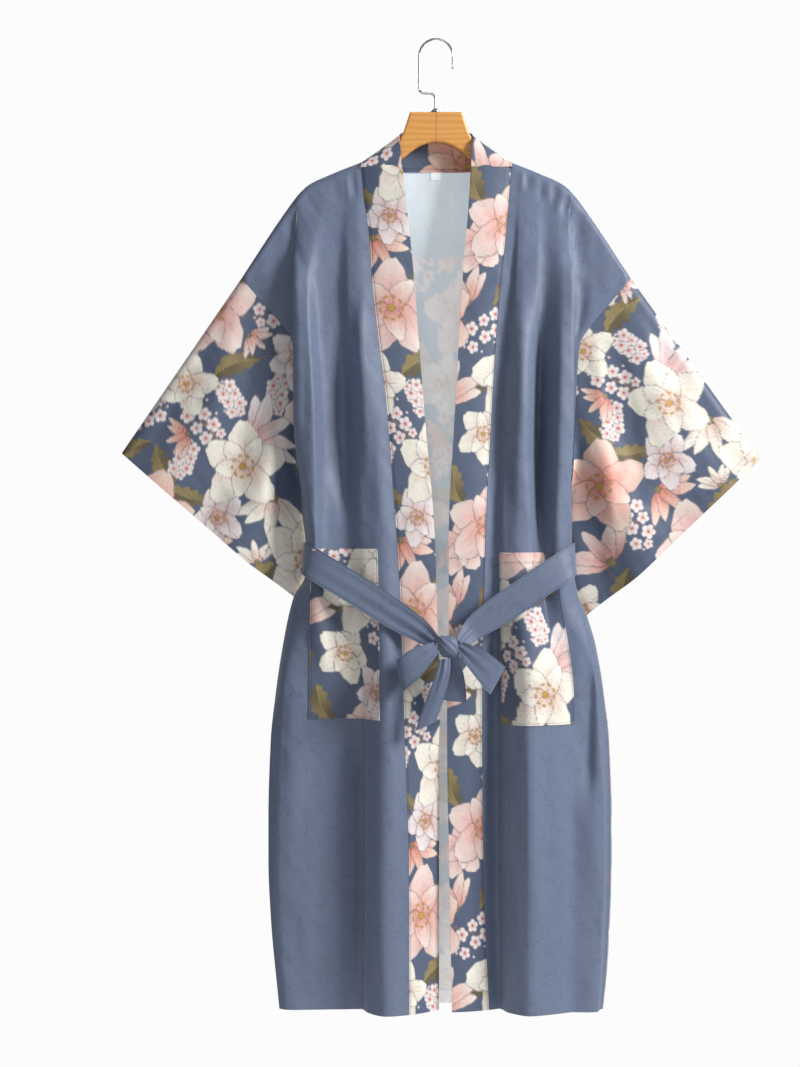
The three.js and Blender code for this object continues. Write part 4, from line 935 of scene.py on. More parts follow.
def add_node(tree: Tree, kind: str, links: dict[str | int, object] | None = None,
             **settings: object) -> bpy.types.Node:
    """Adds a node with its settings and links.

    Args:
        tree: The node tree.
        kind: The node's type without "ShaderNode".
        links: For each input, a value or an output socket of another node.
        settings: The node's own properties.

    Returns:
        The node.
    """
    node = tree.nodes.new("ShaderNode" + kind)
    for key, value in settings.items():
        setattr(node, key, value)
    for key, value in (links or {}).items():
        if isinstance(value, Socket):
            tree.links.new(value, node.inputs[key])
        else:
            node.inputs[key].default_value = value
    return node


def calc(tree: Tree, operation: str, *values: object) -> Socket:
    """A sum or function of one or two values."""
    return add_node(tree, "Math", dict(enumerate(values)), operation=operation).outputs[0]


def blend(tree: Tree, share: object, a: object, b: object) -> Socket:
    """Colour a, and colour b by the share."""
    return add_node(tree, "Mix", {"Factor": share, "A": a, "B": b}, data_type="RGBA").outputs["Result"]


def remap(tree: Tree, value: Socket, start: float, end: float, low: float = 0.0,
          high: float = 1.0) -> Socket:
    """A value carried from the range start to end over to low to high, and held at its ends."""
    return add_node(tree, "MapRange", {"Value": value, "From Min": start, "From Max": end, "To Min": low,
                                       "To Max": high}).outputs[0]


def noise(tree: Tree, at: Socket, scale: float, detail: float = 2.0) -> Socket:
    """The strength of a soft noise."""
    return add_node(tree, "TexNoise", {"Vector": at, "Scale": scale, "Detail": detail}).outputs["Fac"]


def bump(tree: Tree, height: Socket, strength: float, distance: float,
         under: Socket | None = None) -> Socket:
    """The normal over a height, laid on an earlier one where given."""
    links: dict[str | int, object] = {"Height": height, "Strength": strength, "Distance": distance}
    if under is not None:
        links["Normal"] = under
    return add_node(tree, "Bump", links).outputs[0]


def new_material(name: str) -> tuple[bpy.types.Material, Tree]:
    """A material with an empty tree."""
    material = bpy.data.materials.new(name)
    material.use_nodes = True
    tree = material.node_tree
    tree.nodes.clear()
    return material, tree


def lay_surface(tree: Tree, links: dict[str | int, object]) -> None:
    """Ends a tree with its surface shader and its output."""
    shader = add_node(tree, "BsdfPrincipled", links)
    add_node(tree, "OutputMaterial", {"Surface": shader.outputs[0]})


@dataclass(frozen=True)
class WovenFinish:
    """Light woven polyester: matt yarns with a satin glint, a tone-on-tone vine and fine sewing.

    The yarns are 0.25 mm apart, which is too fine to show, so the weave is drawn at 1.1 mm. The pale
    reverse lets light through from behind, which glow gives as a share of scattered light, and the print
    shows there paler than it is, by the share ghost.
    """

    name: str
    base: str
    vine: str
    roughness: float = 0.5
    sheen: float = 0.25
    sheen_roughness: float = 0.4
    weave_mm: float = 1.1
    crumple_mm: float = 34.0
    stitch_mm: float = 2.6
    scatter_mm: float = 3.0
    thread: str = "#39425a"
    printed: bool = False
    print_share: float = 1.0
    glow: float = 0.0
    vine_share: float = 0.45
    ghost: float = 0.0

    def material(self) -> bpy.types.Material:
        """Builds the cloth from its own flat coordinates, in metres of cloth."""
        material, tree = new_material(self.name)
        cloth = add_node(tree, "UVMap", uv_map="cloth").outputs["UV"]
        colour = self._vine(tree, cloth)
        if self.printed:
            ink = add_node(tree, "Attribute", attribute_name="print").outputs
            seen = blend(tree, self.ghost, ink["Color"], linear("#fbf4f0"))
            colour = blend(tree, calc(tree, "MULTIPLY", ink["Alpha"], self.print_share), colour, seen)
        colour = self._mottle(tree, cloth, colour)
        colour, groove = self._sewing(tree, cloth, colour)
        lay_surface(tree, {
            "Base Color": colour, "Roughness": self.roughness, "Sheen Weight": self.sheen,
            "Sheen Roughness": self.sheen_roughness, "Specular IOR Level": 0.4,
            "Subsurface Weight": self.glow, "Subsurface Radius": (1.0, 1.0, 1.0),
            "Subsurface Scale": self.scatter_mm * MM, "Normal": self._bump(tree, cloth, groove),
        })
        return material

    def _vine(self, tree: Tree, cloth: Socket) -> Socket:
        """The tone-on-tone vine: thin bent lines about 12 mm apart, broken up by a slow noise."""
        bent = add_node(tree, "TexNoise", {"Vector": cloth, "Scale": 42.0, "Detail": 2.0}).outputs["Color"]
        moved = add_node(tree, "VectorMath", {0: bent, "Scale": 0.03}, operation="SCALE").outputs[0]
        at = add_node(tree, "VectorMath", {0: cloth, 1: moved}, operation="ADD").outputs[0]
        lines = add_node(tree, "TexVoronoi", {"Vector": at, "Scale": 84.0}, feature="DISTANCE_TO_EDGE")
        thin = remap(tree, lines.outputs["Distance"], 0.015, 0.06, 1.0, 0.0)
        shown = remap(tree, noise(tree, cloth, 48.0, 1.0), 0.44, 0.56)
        share = calc(tree, "MULTIPLY", calc(tree, "MULTIPLY", thin, shown), self.vine_share)
        return blend(tree, share, linear(self.base), linear(self.vine))

    def _mottle(self, tree: Tree, cloth: Socket, colour: Socket) -> Socket:
        """Uneven dye: a slow variation of about 4% and a finer one along the yarns."""
        yarns = add_node(tree, "Mapping", {"Vector": cloth, "Scale": (900.0, 90.0, 1.0)}).outputs[0]
        both = calc(tree, "ADD", noise(tree, cloth, 9.0, 3.0), noise(tree, yarns, 1.0, 1.0))
        level = remap(tree, both, 0.6, 1.4, 0.93, 1.07)
        return add_node(tree, "VectorMath", {0: colour, "Scale": level}, operation="SCALE").outputs[0]

    def _sewing(self, tree: Tree, cloth: Socket, colour: Socket) -> tuple[Socket, Socket]:
        """The stitch line 2 mm in from each sewn edge: a darker thread that sits in a shallow groove."""
        sewn = add_node(tree, "Attribute", attribute_name="sewn").outputs["Fac"]
        away = calc(tree, "ABSOLUTE", calc(tree, "SUBTRACT", sewn, STITCH_IN))
        line = remap(tree, away, 0.3, 1.1, 1.0, 0.0)
        parts = add_node(tree, "SeparateXYZ", {0: cloth}).outputs
        along = calc(tree, "ADD", parts[0], parts[1])
        phase = calc(tree, "MULTIPLY", along, 2 * np.pi / (self.stitch_mm * MM))
        dash = remap(tree, calc(tree, "SINE", phase), -0.7, 0.0)
        share = calc(tree, "MULTIPLY", calc(tree, "MULTIPLY", line, dash), 0.45)
        return blend(tree, share, colour, linear(self.thread)), line

    def _bump(self, tree: Tree, cloth: Socket, groove: Socket) -> Socket:
        """Weave, crumple and stitch groove as height: two crossed waves, a noise and the line."""
        scale = 1 / (self.weave_mm * MM) / 3.2
        waves = [add_node(tree, "TexWave", {"Vector": cloth, "Scale": scale, "Distortion": 0.6},
                          bands_direction=axis).outputs["Fac"] for axis in ("X", "Y")]
        weave = bump(tree, calc(tree, "MULTIPLY", *waves), 0.12, 0.0002)
        crumple = add_node(tree, "TexNoise", {
            "Vector": cloth, "Scale": 1 / (self.crumple_mm * MM), "Detail": 3.0, "Roughness": 0.45,
        }).outputs["Fac"]
        crumpled = bump(tree, crumple, 0.2, 0.006, weave)
        return bump(tree, calc(tree, "SUBTRACT", 1.0, groove), 0.5, 0.0006, crumpled)


@dataclass(frozen=True)
class LabelTape:
    """Woven polyester tape, bare: close white yarns with a soft shine, ribs drawn at 0.8 mm.

    A faint emission paints a glow on it, so that it stays white in the shade where it hangs.
    """

    name: str = "label_tape_white"
    base: str = "#f4f5f5"
    painted_glow: float = 0.4

    def material(self) -> bpy.types.Material:
        """Builds the tape from its flat coordinates."""
        material, tree = new_material(self.name)
        cloth = add_node(tree, "UVMap", uv_map="cloth").outputs["UV"]
        ribs = add_node(tree, "TexWave", {"Vector": cloth, "Scale": 400.0},
                        bands_direction="Y").outputs["Fac"]
        tone = blend(tree, ribs, linear("#eaebed"), linear(self.base))
        # Emission Color and Emission Strength paint a glow on the tape: painted light that keeps it white in
        # shade.
        lay_surface(tree, {
            "Base Color": tone, "Roughness": 0.5, "Sheen Weight": 0.2, "Subsurface Weight": 0.8,
            "Subsurface Radius": (1.0, 1.0, 1.0), "Subsurface Scale": 3 * MM,
            "Normal": bump(tree, ribs, 0.3, 0.0002), "Emission Color": tone,
            "Emission Strength": self.painted_glow,
        })
        return material


@dataclass(frozen=True)
class LacqueredWood:
    """Clear-lacquered lotus wood, cut from glued boards: honey grain along the board, satin coat.

    The growth lines are 3 to 5 mm apart and the pores 0.4 mm wide.
    """

    name: str = "lotus_wood_lacquered"
    pale: str = "#e8a658"
    dark: str = "#cd8839"
    glue: str = "#a2662f"
    ring_mm: float = 4.0

    def material(self) -> bpy.types.Material:
        """Builds the grain from object coordinates, stretched along the board."""
        material, tree = new_material(self.name)
        at = add_node(tree, "TexCoord").outputs["Object"]
        laid = add_node(tree, "Mapping", {"Vector": at, "Scale": (0.16, 1.0, 1.0)}).outputs[0]
        bands = add_node(tree, "TexWave", {
            "Vector": laid, "Scale": 1 / (self.ring_mm * MM) / 6, "Distortion": 5.0, "Detail": 2.0,
            "Detail Scale": 1.4}, bands_direction="Z").outputs["Fac"]
        along = add_node(tree, "Mapping", {"Vector": at, "Scale": (60.0, 900.0, 1600.0)}).outputs[0]
        fibre = noise(tree, along, 1.0)
        tone = blend(tree, calc(tree, "MULTIPLY", bands, fibre), linear(self.pale), linear(self.dark))
        away = calc(tree, "ABSOLUTE", add_node(tree, "SeparateXYZ", {0: at}).outputs[0])
        joint = remap(tree, away, 0.0003, 0.001, 0.55, 0.0)
        lay_surface(tree, {
            "Base Color": blend(tree, joint, tone, linear(self.glue)), "Roughness": 0.38,
            "Coat Weight": 0.35, "Coat Roughness": 0.22, "Normal": bump(tree, fibre, 0.12, 0.0002),
        })
        return material


@dataclass(frozen=True)
class ChromedWire:
    """Drawn steel wire, nickel and chrome plated: a bright mirror with faint drawing lines."""

    name: str = "chrome_plated_wire"
    base: str = "#d3d6da"

    def material(self) -> bpy.types.Material:
        """Builds the metal with a slightly uneven polish."""
        material, tree = new_material(self.name)
        at = add_node(tree, "TexCoord").outputs["Object"]
        rough = remap(tree, noise(tree, at, 260.0), 0.0, 1.0, 0.1, 0.24)
        lay_surface(tree, {"Base Color": linear(self.base), "Metallic": 1.0, "Roughness": rough})
        return material


PLAIN = WovenFinish("woven_satin_plain_blue", base="#6c7890", vine="#55617a")
BELT = WovenFinish("woven_satin_belt", base="#6c7890", vine="#55617a", glow=0.9)
PLAIN_REVERSE = WovenFinish("woven_satin_plain_reverse", base="#cdd5db", vine="#d4dae0", glow=1.0)
PRINTED = WovenFinish("woven_satin_printed", base=PRINT.ground, vine="#4d5870", printed=True)
PRINTED_REVERSE = WovenFinish("woven_satin_printed_reverse", base="#cdd5db", vine="#d4dae0", printed=True,
                              print_share=0.6, glow=1.0, ghost=0.6)


BACK_OUTER = WovenFinish("woven_satin_back", base=PLAIN.base, vine=PLAIN.vine, printed=True)


def all_materials() -> Materials:
    """The finishes by the short names that the pieces use."""
    finishes = {
        "plain": PLAIN, "plain_reverse": PLAIN_REVERSE, "printed": PRINTED,
        "printed_reverse": PRINTED_REVERSE, "label": LabelTape(), "wood": LacqueredWood(),
        "chrome": ChromedWire(), "belt": BELT, "back_outer": BACK_OUTER,
    }
    return {name: finish.material() for name, finish in finishes.items()}


def stitch_at(away: Array, place_in: float) -> Array:
    """Distances that put the stitch line this far in from an edge, from the distances to the edge."""
    return np.abs(away - place_in) + STITCH_IN


@dataclass
class FrontPanel:
    """A front panel as a surface over u, from the band seam to the side, and a height z."""

    side: Side
    cut: Cut
    spacing: float = 4.0
    under_share: float = 0.55
    relief_start: float = 14.0
    relief_end: float = 0.16
    widths: tuple[float, ...] = (26, 18, 26, 12, 22, 24, 22, 36, 26, 34)

    def section(self, u: Array, z: Array) -> tuple[Array, Array]:
        """Distance out and depth: smooth curves over u through the fold lines' values at this height."""
        side = self.side
        seam = column(side.seam, 1, z)
        outer = column(side.side, 1, z)
        xs = [seam] + [curve_through(STATIONS, fold.x, z) for fold in side.folds]
        rows = (side.seam_depth, *(fold.y for fold in side.folds))
        ys = [curve_through(STATIONS, row, z) for row in rows]
        xs += [xs[-1] + self.under_share * (outer - xs[-1]), outer]
        ys += [curve_through(STATIONS, side.under_depth, z), side_depth(z)]
        knots = np.linspace(0, 1, len(xs))
        return curve_through(knots, np.stack(xs), u), curve_through(knots, np.stack(ys), u)

    def top_of(self, u: Array) -> Array:
        """Where a column meets the shoulder line, found by going to and fro between the two."""
        z = np.full(np.shape(u), float(STATIONS[0]))
        for _ in range(8):
            z = shoulder_z(self.section(u, z)[0])
        return z

    def points(self, u: Array, z: Array, top: Array | float | None = None) -> Array:
        """Points of the panel's face, with small relief that dies out at the shoulder and the side."""
        peak = self.top_of(u) if top is None else top
        x, y = self.section(u, z)
        depth = settled(peak - z, y)
        across = self.side.sign * x
        share = ease((peak - z) / self.relief_start) * ease((1 - u) / self.relief_end)
        depth = depth + share * belt_share(across, z) * FRONT_RELIEF.rise(across, z)
        return np.stack([across, -SEAM - depth, z + 0 * x], -1)

    def sheet(self) -> Sheet:
        """The whole panel on a fine grid: rows close together over the shoulder and at the armpit."""
        u = arc_columns(np.array(self.widths), self.spacing)
        tops = self.top_of(u)
        rows = panel_heights(tops, self.spacing)
        grid = self.points(np.broadcast_to(u, rows.shape), rows, tops)
        flat = flat_of(grid)
        hem = stitch_at(np.minimum(rows - HEM_Z, FAR_FROM_SEAM), HEM)
        slit = np.where(rows < SLIT_TOP_Z, np.abs(flat[..., 0] - flat[:, -1:, 0]), FAR_FROM_SEAM)
        return Sheet(grid, flat, FORWARD, np.minimum(hem, slit))

    def build(self, materials: Materials) -> bpy.types.Object:
        """Makes the panel."""
        return sew(f"front_{self.side.name}", self.sheet(), Look.PLAIN, materials)


def panel_heights(tops: Array, spacing: float) -> Array:
    """Heights of a panel's rows under each column's top, down to the hem, one column for each top."""
    cap = np.array((0, 0.4, 1.0, 2.0, 3.5, 6.0, CAP_REACH))
    foot = np.array((10, 7.5, 5, 3, 1.6, 0.7, 0.2))
    count = int(np.ceil((STATIONS[0] - ARMPIT_Z - 20) / spacing))
    k = np.linspace(0, 1, count + 1)[1:-1, None]
    start, end = tops - CAP_REACH, ARMPIT_Z + foot[0]
    upper = start + (end - start) * k
    lower = strand(spacing, ARMPIT_Z, SLIT_TOP_Z, HEM_Z)
    parts = [tops - cap[:, None], upper, ARMPIT_Z + foot[:, None] + 0 * tops, lower[:, None] + 0 * tops]
    return np.concatenate(parts)


def flat_of(grid: Array) -> Array:
    """Places on the cut cloth, in millimetres: distance along each row from its start, and height."""
    step = np.linalg.norm(np.diff(grid, axis=1), axis=2)
    along = np.concatenate([np.zeros((len(grid), 1)), np.cumsum(step, axis=1)], axis=1)
    return np.stack([along, grid[..., 2]], -1)


def outward(points: Array, towards: Array) -> Array:
    """Unit normals of a grid of points, all to the side that looks towards a direction."""
    found = normals(points)
    return found * np.sign((found * towards).sum())


@dataclass
class BackPanel:
    """The back panel as a surface over share (-1 left side, 1 right side) and a height z."""

    cut: Cut
    spacing: float = 4.6
    neck_fall: float = 30.0
    print_top: float = -285.0
    mean_half: float = 235.0

    def width(self, share: Array, z: Array) -> Array:
        """Distance from the middle to the side on the share's side."""
        flare = ease((SLIT_TOP_Z - z) / SLIT_RAMP)
        left = column(LEFT.side, 1, z) + LEFT.back_flare * flare
        right = column(RIGHT.side, 1, z) + RIGHT.back_flare * flare
        return np.where(share < 0, left, right)

    def top_of(self, share: Array) -> Array:
        """The neck seam between the neck corners, the shoulder line beyond them."""
        away = np.abs(share * self.width(share, np.full(np.shape(share), float(STATIONS[0]))))
        corner_x, corner_z = NECK_CORNER
        fall = (corner_z - NECK_SEAM_Z) * ease((corner_x - 3 - away) / self.neck_fall)
        return np.where(away >= corner_x, shoulder_z(away), corner_z - fall)

    def points(self, share: Array, z: Array, top: Array | None = None) -> Array:
        """Points of the panel's face, with its small relief."""
        peak = self.top_of(share) if top is None else top
        x = share * self.width(share, z)
        side = side_depth(z)
        shares = [-1, *(row[0] for row in BACK_FOLDS), 1]
        depths = [side, *(curve_through(STATIONS, row[1:], z) for row in BACK_FOLDS), side]
        depth = curve_through(shares, np.stack(depths), share)
        neck = np.clip(np.abs(share * self.width(share, peak + 0 * x)) / NECK_CORNER[0], 0, 1)
        start = NECK_SEAM_Y * np.sqrt(np.maximum(0, 1 - neck**4))
        drop = peak - z
        stand = start + (depth - start) * ease(drop / SHOULDER_SETTLE)
        level = start / NECK_SEAM_Y
        y = settled(drop, depth) * (1 - level) + stand * level
        window = ease(drop / 40) * ease((1 - np.abs(share)) / 0.12) * straight_belt_share(z)
        return np.stack([x, SEAM + y + window * BACK_RELIEF.rise(x, z), z + 0 * x], -1)

    def sheet(self) -> Sheet:
        """The whole panel on a fine grid."""
        half = float(LEFT.side[0][1])
        corner = NECK_CORNER[0] / half
        share = strand(self.spacing / self.mean_half, -1.0, -corner, corner, 1.0)
        tops = self.top_of(share)
        rows = panel_heights(tops, self.spacing)
        grid = self.points(np.broadcast_to(share, rows.shape), rows, tops)
        flat = flat_of(grid)
        flat[..., 0] -= flat[:, len(share) // 2, None, 0]
        hem = stitch_at(np.minimum(rows - HEM_Z, FAR_FROM_SEAM), HEM)
        edge = np.minimum(np.abs(flat[..., 0] - flat[:, :1, 0]), np.abs(flat[..., 0] - flat[:, -1:, 0]))
        slit = np.where(rows < SLIT_TOP_Z, edge, FAR_FROM_SEAM)
        return Sheet(grid, flat, BACKWARD, np.minimum(hem, slit))

    def build(self, materials: Materials) -> bpy.types.Object:
        """Makes the panel, printed below the yoke line and plain above it."""
        sheet = self.sheet()
        obj = sew("back", sheet, Look.BACK, materials)
        ink = obj.data.attributes["print"]
        values = np.empty(len(ink.data) * 4, np.float32)
        ink.data.foreach_get("color", values)
        values = values.reshape(-1, 4)
        height = np.concatenate([sheet.grid[..., 2].ravel()] * 2)
        plain = np.clip((height - self.print_top) / self.spacing + 0.5, 0, 1)[:, None]
        values = values * (1 - plain) + np.append(rgb(PLAIN.base), 0.0) * plain
        ink.data.foreach_set("color", values.astype(np.float32).ravel())
        return obj


@dataclass
class Sleeve:
    """A wide straight sleeve: a tube from the armhole to the cuff, laid flat."""

    side: Side
    cut: Cut
    spacing: float = 2.0
    lens: float = 10.0
    swell: float = 3.0
    back_shift: float = 1.06
    seam_gap: float = 0.5
    tuck: float = 6.0
    close: float = 0.9
    behind: float = 16.0
    past_side: float = 2.2
    depth: float = 300.0
    length: float = 250.0
    cuff_hem: float = 16.0
    back_print: tuple[float, float] = (190.0, 130.0)

    def rim(self, z: Array, face: int) -> Array:
        """The armhole line of the front (-1) or back (1) panel, without small relief."""
        x = column(self.side.side, 1, z)
        depth = settled(shoulder_z(x * 0 + SLEEVE_TOP_X) - z, side_depth(z))
        return np.stack([self.side.sign * x, face * (SEAM + depth), z], -1)

    def swing(self, w: Array, start: Array) -> tuple[Array, Array]:
        """How far the underarm edge swings in and back, to pass just behind the robe's side.

        Args:
            w: Share of the way to the cuff, one for each row.
            start: The armhole line, whose last point is at the underarm.

        Returns:
            The two distances, one for each row.
        """
        bottom_x, bottom_z = self.side.cuff[2:]
        x = self.side.sign * start[-1, 0] * (1 - w) + bottom_x * w
        side = column(self.side.side, 1, start[-1, 2] * (1 - w) + bottom_z * w)
        ramp = ease(w / 0.25)
        lean = x - side + self.past_side * ramp - self.close * (1 - ramp)
        return np.maximum(lean, 0), self.behind * ramp

    def half(self, w: Array, face: int) -> Array:
        """One face of the sleeve from its top edge to its underarm.

        The point at share w of the way is between the armhole and the cuff, plus a lens, the soft folds
        and a swell that is widest half way.

        Args:
            w: Share of the way to the cuff, one for each row.
            face: -1 in front, 1 behind.

        Returns:
            The points.
        """
        top_x, top_z, bottom_x, bottom_z = self.side.cuff
        length = float(np.hypot(top_x - bottom_x, top_z - bottom_z))
        cap = np.array((0, 0.4, 1.2, 2.4, 4, 6.5, 10))
        count = int(np.ceil(self.depth / self.spacing))
        k = np.linspace(0, 1, count + 1)[1:-1]
        along = np.concatenate([cap, 10 + (length - 20) * k, length - cap[::-1]])
        top = float(shoulder_z(np.array(SLEEVE_TOP_X)))
        z = np.concatenate([top - cap, top - 10 + (ARMPIT_Z + 20 - top) * k, ARMPIT_Z + cap[::-1]])
        start = self.rim(z, face)
        away = np.stack([np.gradient(start[:, 0]), np.gradient(start[:, 2])], -1)
        away = away / np.linalg.norm(away, axis=1, keepdims=True) * self.seam_gap
        off = np.stack([self.side.sign * np.abs(away[:, 1]), 0 * z, self.side.sign * away[:, 0]], -1)
        start = start + off
        share = along / length
        from_end = np.minimum(along, length - along)
        shift = 1 if face < 0 else self.back_shift
        folds = sum(depth * np.exp(-(((share - across * shift) / width) ** 2))
                    for across, width, depth in SLEEVE_FOLDS) * ease(from_end / 30)
        lens = CAP_DEPTH * quarter_round(from_end / CAP_REACH)
        end = np.stack([self.side.sign * (top_x + (bottom_x - top_x) * share),
                        face * (SEAM + lens + self.lens * np.sin(np.pi * share) + folds),
                        top_z + (bottom_z - top_z) * share], -1)
        lean, behind = self.swing(np.maximum(w, 0), start)
        edge = ease((share[None] - 0.72) / 0.28)
        inward = start - off * self.tuck
        inward[:, 1] = face * np.maximum(np.abs(inward[:, 1]) - CLOTH - LAYER_GAP, 0.05)
        w = w[:, None, None]
        grid = start * (1 - w) + end * w
        grid = np.where(w < 0, inward, grid)
        grid[..., 0] -= self.side.sign * lean[:, None] * edge
        grid[..., 1] += behind[:, None] * edge
        w = np.maximum(w, 0)
        swell = (self.swell * np.sin(np.pi * share) + folds * 0.6) * np.sin(np.pi * w[..., 0])
        x, z = grid[..., 0], grid[..., 2]
        window = ease(from_end / 26) * ease(w[..., 0] / 0.1)
        small = window * SLEEVE_RELIEF.rise(x, z + (0 if face < 0 else 22))
        grid[..., 1] += face * (swell + small)
        return grid

    def sheet(self) -> Sheet:
        """The whole tube: the front half down to the underarm, then the back half up again."""
        w = np.append(-1.0, strand(self.spacing / self.length, 0.0, 0.012, 0.985, 1.0))
        front, back = self.half(w, -1), self.half(w, 1)[:, ::-1]
        grid = np.concatenate([front, back], axis=1)
        turn = 0.0 if self.side.sign < 0 else 24.0
        flat = turned(grid[..., (0, 2)].reshape(-1, 2), turn).reshape(*grid.shape[:2], 2)
        flat[:, front.shape[1]:] += self.back_print
        facing = np.zeros(grid.shape)
        facing[:, :front.shape[1]] = FORWARD
        facing[:, front.shape[1]:] = BACKWARD
        top_x, top_z, bottom_x, bottom_z = self.side.cuff
        edge = np.array((bottom_x - top_x, bottom_z - top_z)) / np.hypot(bottom_x - top_x, bottom_z - top_z)
        out = np.abs((np.abs(grid[..., 0]) - top_x) * edge[1] - (grid[..., 2] - top_z) * edge[0])
        return Sheet(grid, flat, facing, stitch_at(out, self.cuff_hem), ring=True)

    def build(self, materials: Materials) -> bpy.types.Object:
        """Makes the sleeve."""
        return sew(f"sleeve_{self.side.name}", self.sheet(), Look.PRINTED, materials)


@dataclass
class FrontBand:
    """A front band from its join with the neck band to the hem: doubled cloth, sewn to the panel."""

    side: Side
    panel: FrontPanel
    cut: Cut
    print_shift: tuple[float, float]
    spacing: float = 1.55
    width: float = 56.0
    bulge: float = 2.5
    seam_step: float = 0.5
    allowance: float = 2.4

    def points(self, u: Array, z: Array) -> Array:
        """Between the seam (u 0) and the free edge (u 1), bulging to the front by a half sine."""
        start = self.panel.points(0 * u, z, NECK_CORNER[1])
        seam = column(self.side.seam, 1, z) - self.seam_step
        edge = column(self.side.edge, 1, z)
        x = seam * (1 - u) + edge * u
        y = start[..., 1] * (1 - u) - column(self.side.edge, 2, z) * u - self.bulge * np.sin(np.pi * u)
        across = self.side.sign * x
        small = FRONT_RELIEF.rise(across, z) * ease((NECK_CORNER[1] - z) / 60) * belt_share(across, z) * u
        return np.stack([across, y - small, z + 0 * x], -1)

    def sheet(self) -> Sheet:
        """The band on a fine grid, with a dip along the seam."""
        rows = strand(self.spacing, BAND_JOIN_Z, HEM_Z)[:, None]
        u = strand(self.spacing / self.width, 0.0, 1.0)
        z = np.broadcast_to(rows, (len(rows), len(u)))
        grid = self.points(np.broadcast_to(u, z.shape), z)
        grid[..., 1] += 0.5 * np.exp(-((u * self.width / 3) ** 2))
        along, across = self.width * u + 0 * z, z + 0 * u
        tuck = np.array((self.side.sign * self.allowance, CLOTH + LAYER_GAP, 0.0))
        grid = np.concatenate([grid[:, :1] + tuck, grid[:, :1] + tuck * (0.1, 1, 0), grid], axis=1)
        under = (0, DOUBLED + LAYER_GAP, self.allowance)
        grid = np.concatenate([grid[:1] + under, grid[:1] + (0, DOUBLED, 0.1), grid])
        along, across = (np.pad(part, ((2, 0), (2, 0)), "edge") for part in (along, across))
        flat = np.stack([self.print_shift[0] + along, self.print_shift[1] + across], -1)
        return Sheet(grid, flat, FORWARD, np.minimum(FAR_FROM_SEAM, along), DOUBLED)

    def build(self, materials: Materials) -> bpy.types.Object:
        """Makes the band."""
        return sew(f"band_{self.side.name}", self.sheet(), Look.PRINTED, materials)


@dataclass
class NeckBand:
    """The neck band, from join to join round the back of the neck: doubled cloth that stands up."""

    cut: Cut
    spacing: float = 1.5
    width: float = 54.0
    allowance: float = 2.6
    print_shift: tuple[float, float] = (300.0, 90.0)

    def sheet(self) -> Sheet:
        """Straight lines between its sewn edge and its free edge, both smooth curves through the table."""
        half = np.array(NECK_BAND)
        mirror = half[-2::-1] * np.array((-1, 1, 1, -1, 1, 1))
        table = np.concatenate([half, mirror])
        knots = np.linspace(0, 1, len(table))
        v = np.linspace(0, 1, 190)
        lines = np.stack([curve_through(knots, table[:, i], v) for i in range(6)], -1)
        tuck = self.allowance / self.width
        u = np.append((-tuck, -0.1 * tuck), strand(self.spacing / self.width, 0.0, 1.0))[None, :, None]
        grid = lines[:, None, :3] * (1 - u) + lines[:, None, 3:] * u
        centre = (lines[:, :3] + lines[:, 3:]) / 2
        step = np.linalg.norm(np.diff(centre, axis=0), axis=1)
        along = np.concatenate([[0], np.cumsum(step)])
        grid[..., 1] += 0.5 * np.sin(along / 17)[:, None] * np.sin(np.pi * u[..., 0])
        u_flat, v_flat = np.broadcast_arrays(u[..., 0], along[:, None])
        flat = np.stack([self.print_shift[0] - self.width * u_flat, self.print_shift[1] + v_flat], -1)
        facing = np.stack([grid[..., 0] * 0.4, grid[..., 1] * 3, 10 + 0 * grid[..., 0]], -1)
        sewn = np.minimum(FAR_FROM_SEAM, self.width * np.maximum(u_flat, 0))
        sheet = Sheet(grid, flat, facing, sewn, DOUBLED)
        sheet.grid = grid - sheet.square() * (CLOTH + LAYER_GAP) * (u < 0)
        return sheet

    def build(self, materials: Materials) -> bpy.types.Object:
        """Makes the neck band."""
        return sew("band_neck", self.sheet(), Look.PRINTED_DOUBLE, materials)


@dataclass
class Pocket:
    """A patch pocket: the panel's own points, moved out along its normals."""

    panel: FrontPanel
    cut: Cut
    top_z: float
    bottom_z: float
    first_u: float
    last_u: float
    print_shift: tuple[float, float]
    spacing: float = 1.5
    bulge: float = 1.2
    mouth_hem: float = 14.0

    def sheet(self) -> Sheet:
        """The pocket on a fine grid, swelling by a product of two half sines, with a raised mouth hem."""
        z = strand(self.spacing, self.top_z, self.bottom_z)
        u = arc_columns(np.full(10, 16.0), self.spacing)
        u = np.unique(np.clip(u, self.first_u, self.last_u))
        zz = np.broadcast_to(z[:, None], (len(z), len(u)))
        base = self.panel.points(np.broadcast_to(u, zz.shape), zz)
        across = (u - self.first_u) / (self.last_u - self.first_u)
        down = (self.top_z - zz) / (self.top_z - self.bottom_z)
        lift = LAYER_GAP + CLOTH + self.bulge * np.sin(np.pi * across) * np.sin(np.pi * down)
        lift = lift + 0.5 * ease((self.mouth_hem - (self.top_z - zz)) / 1.6)
        grid = base + outward(base, FORWARD) * lift[..., None]
        flat = flat_of(grid) + self.print_shift
        side = np.minimum(flat[..., 0] - flat[:, :1, 0], flat[:, -1:, 0] - flat[..., 0])
        sewn = np.minimum(np.minimum(side, zz - self.bottom_z), stitch_at(self.top_z - zz, self.mouth_hem))
        return Sheet(grid, flat, FORWARD, sewn)

    def build(self, materials: Materials) -> bpy.types.Object:
        """Makes the pocket."""
        side = self.panel.side
        return sew(f"pocket_{side.name}", self.sheet(), Look.PRINTED, materials)


class Strip(Enum):
    """The kinds of narrow strip in the belt and bow."""

    BELT = "belt"
    LOOP = "loop"
    TAIL = "tail"


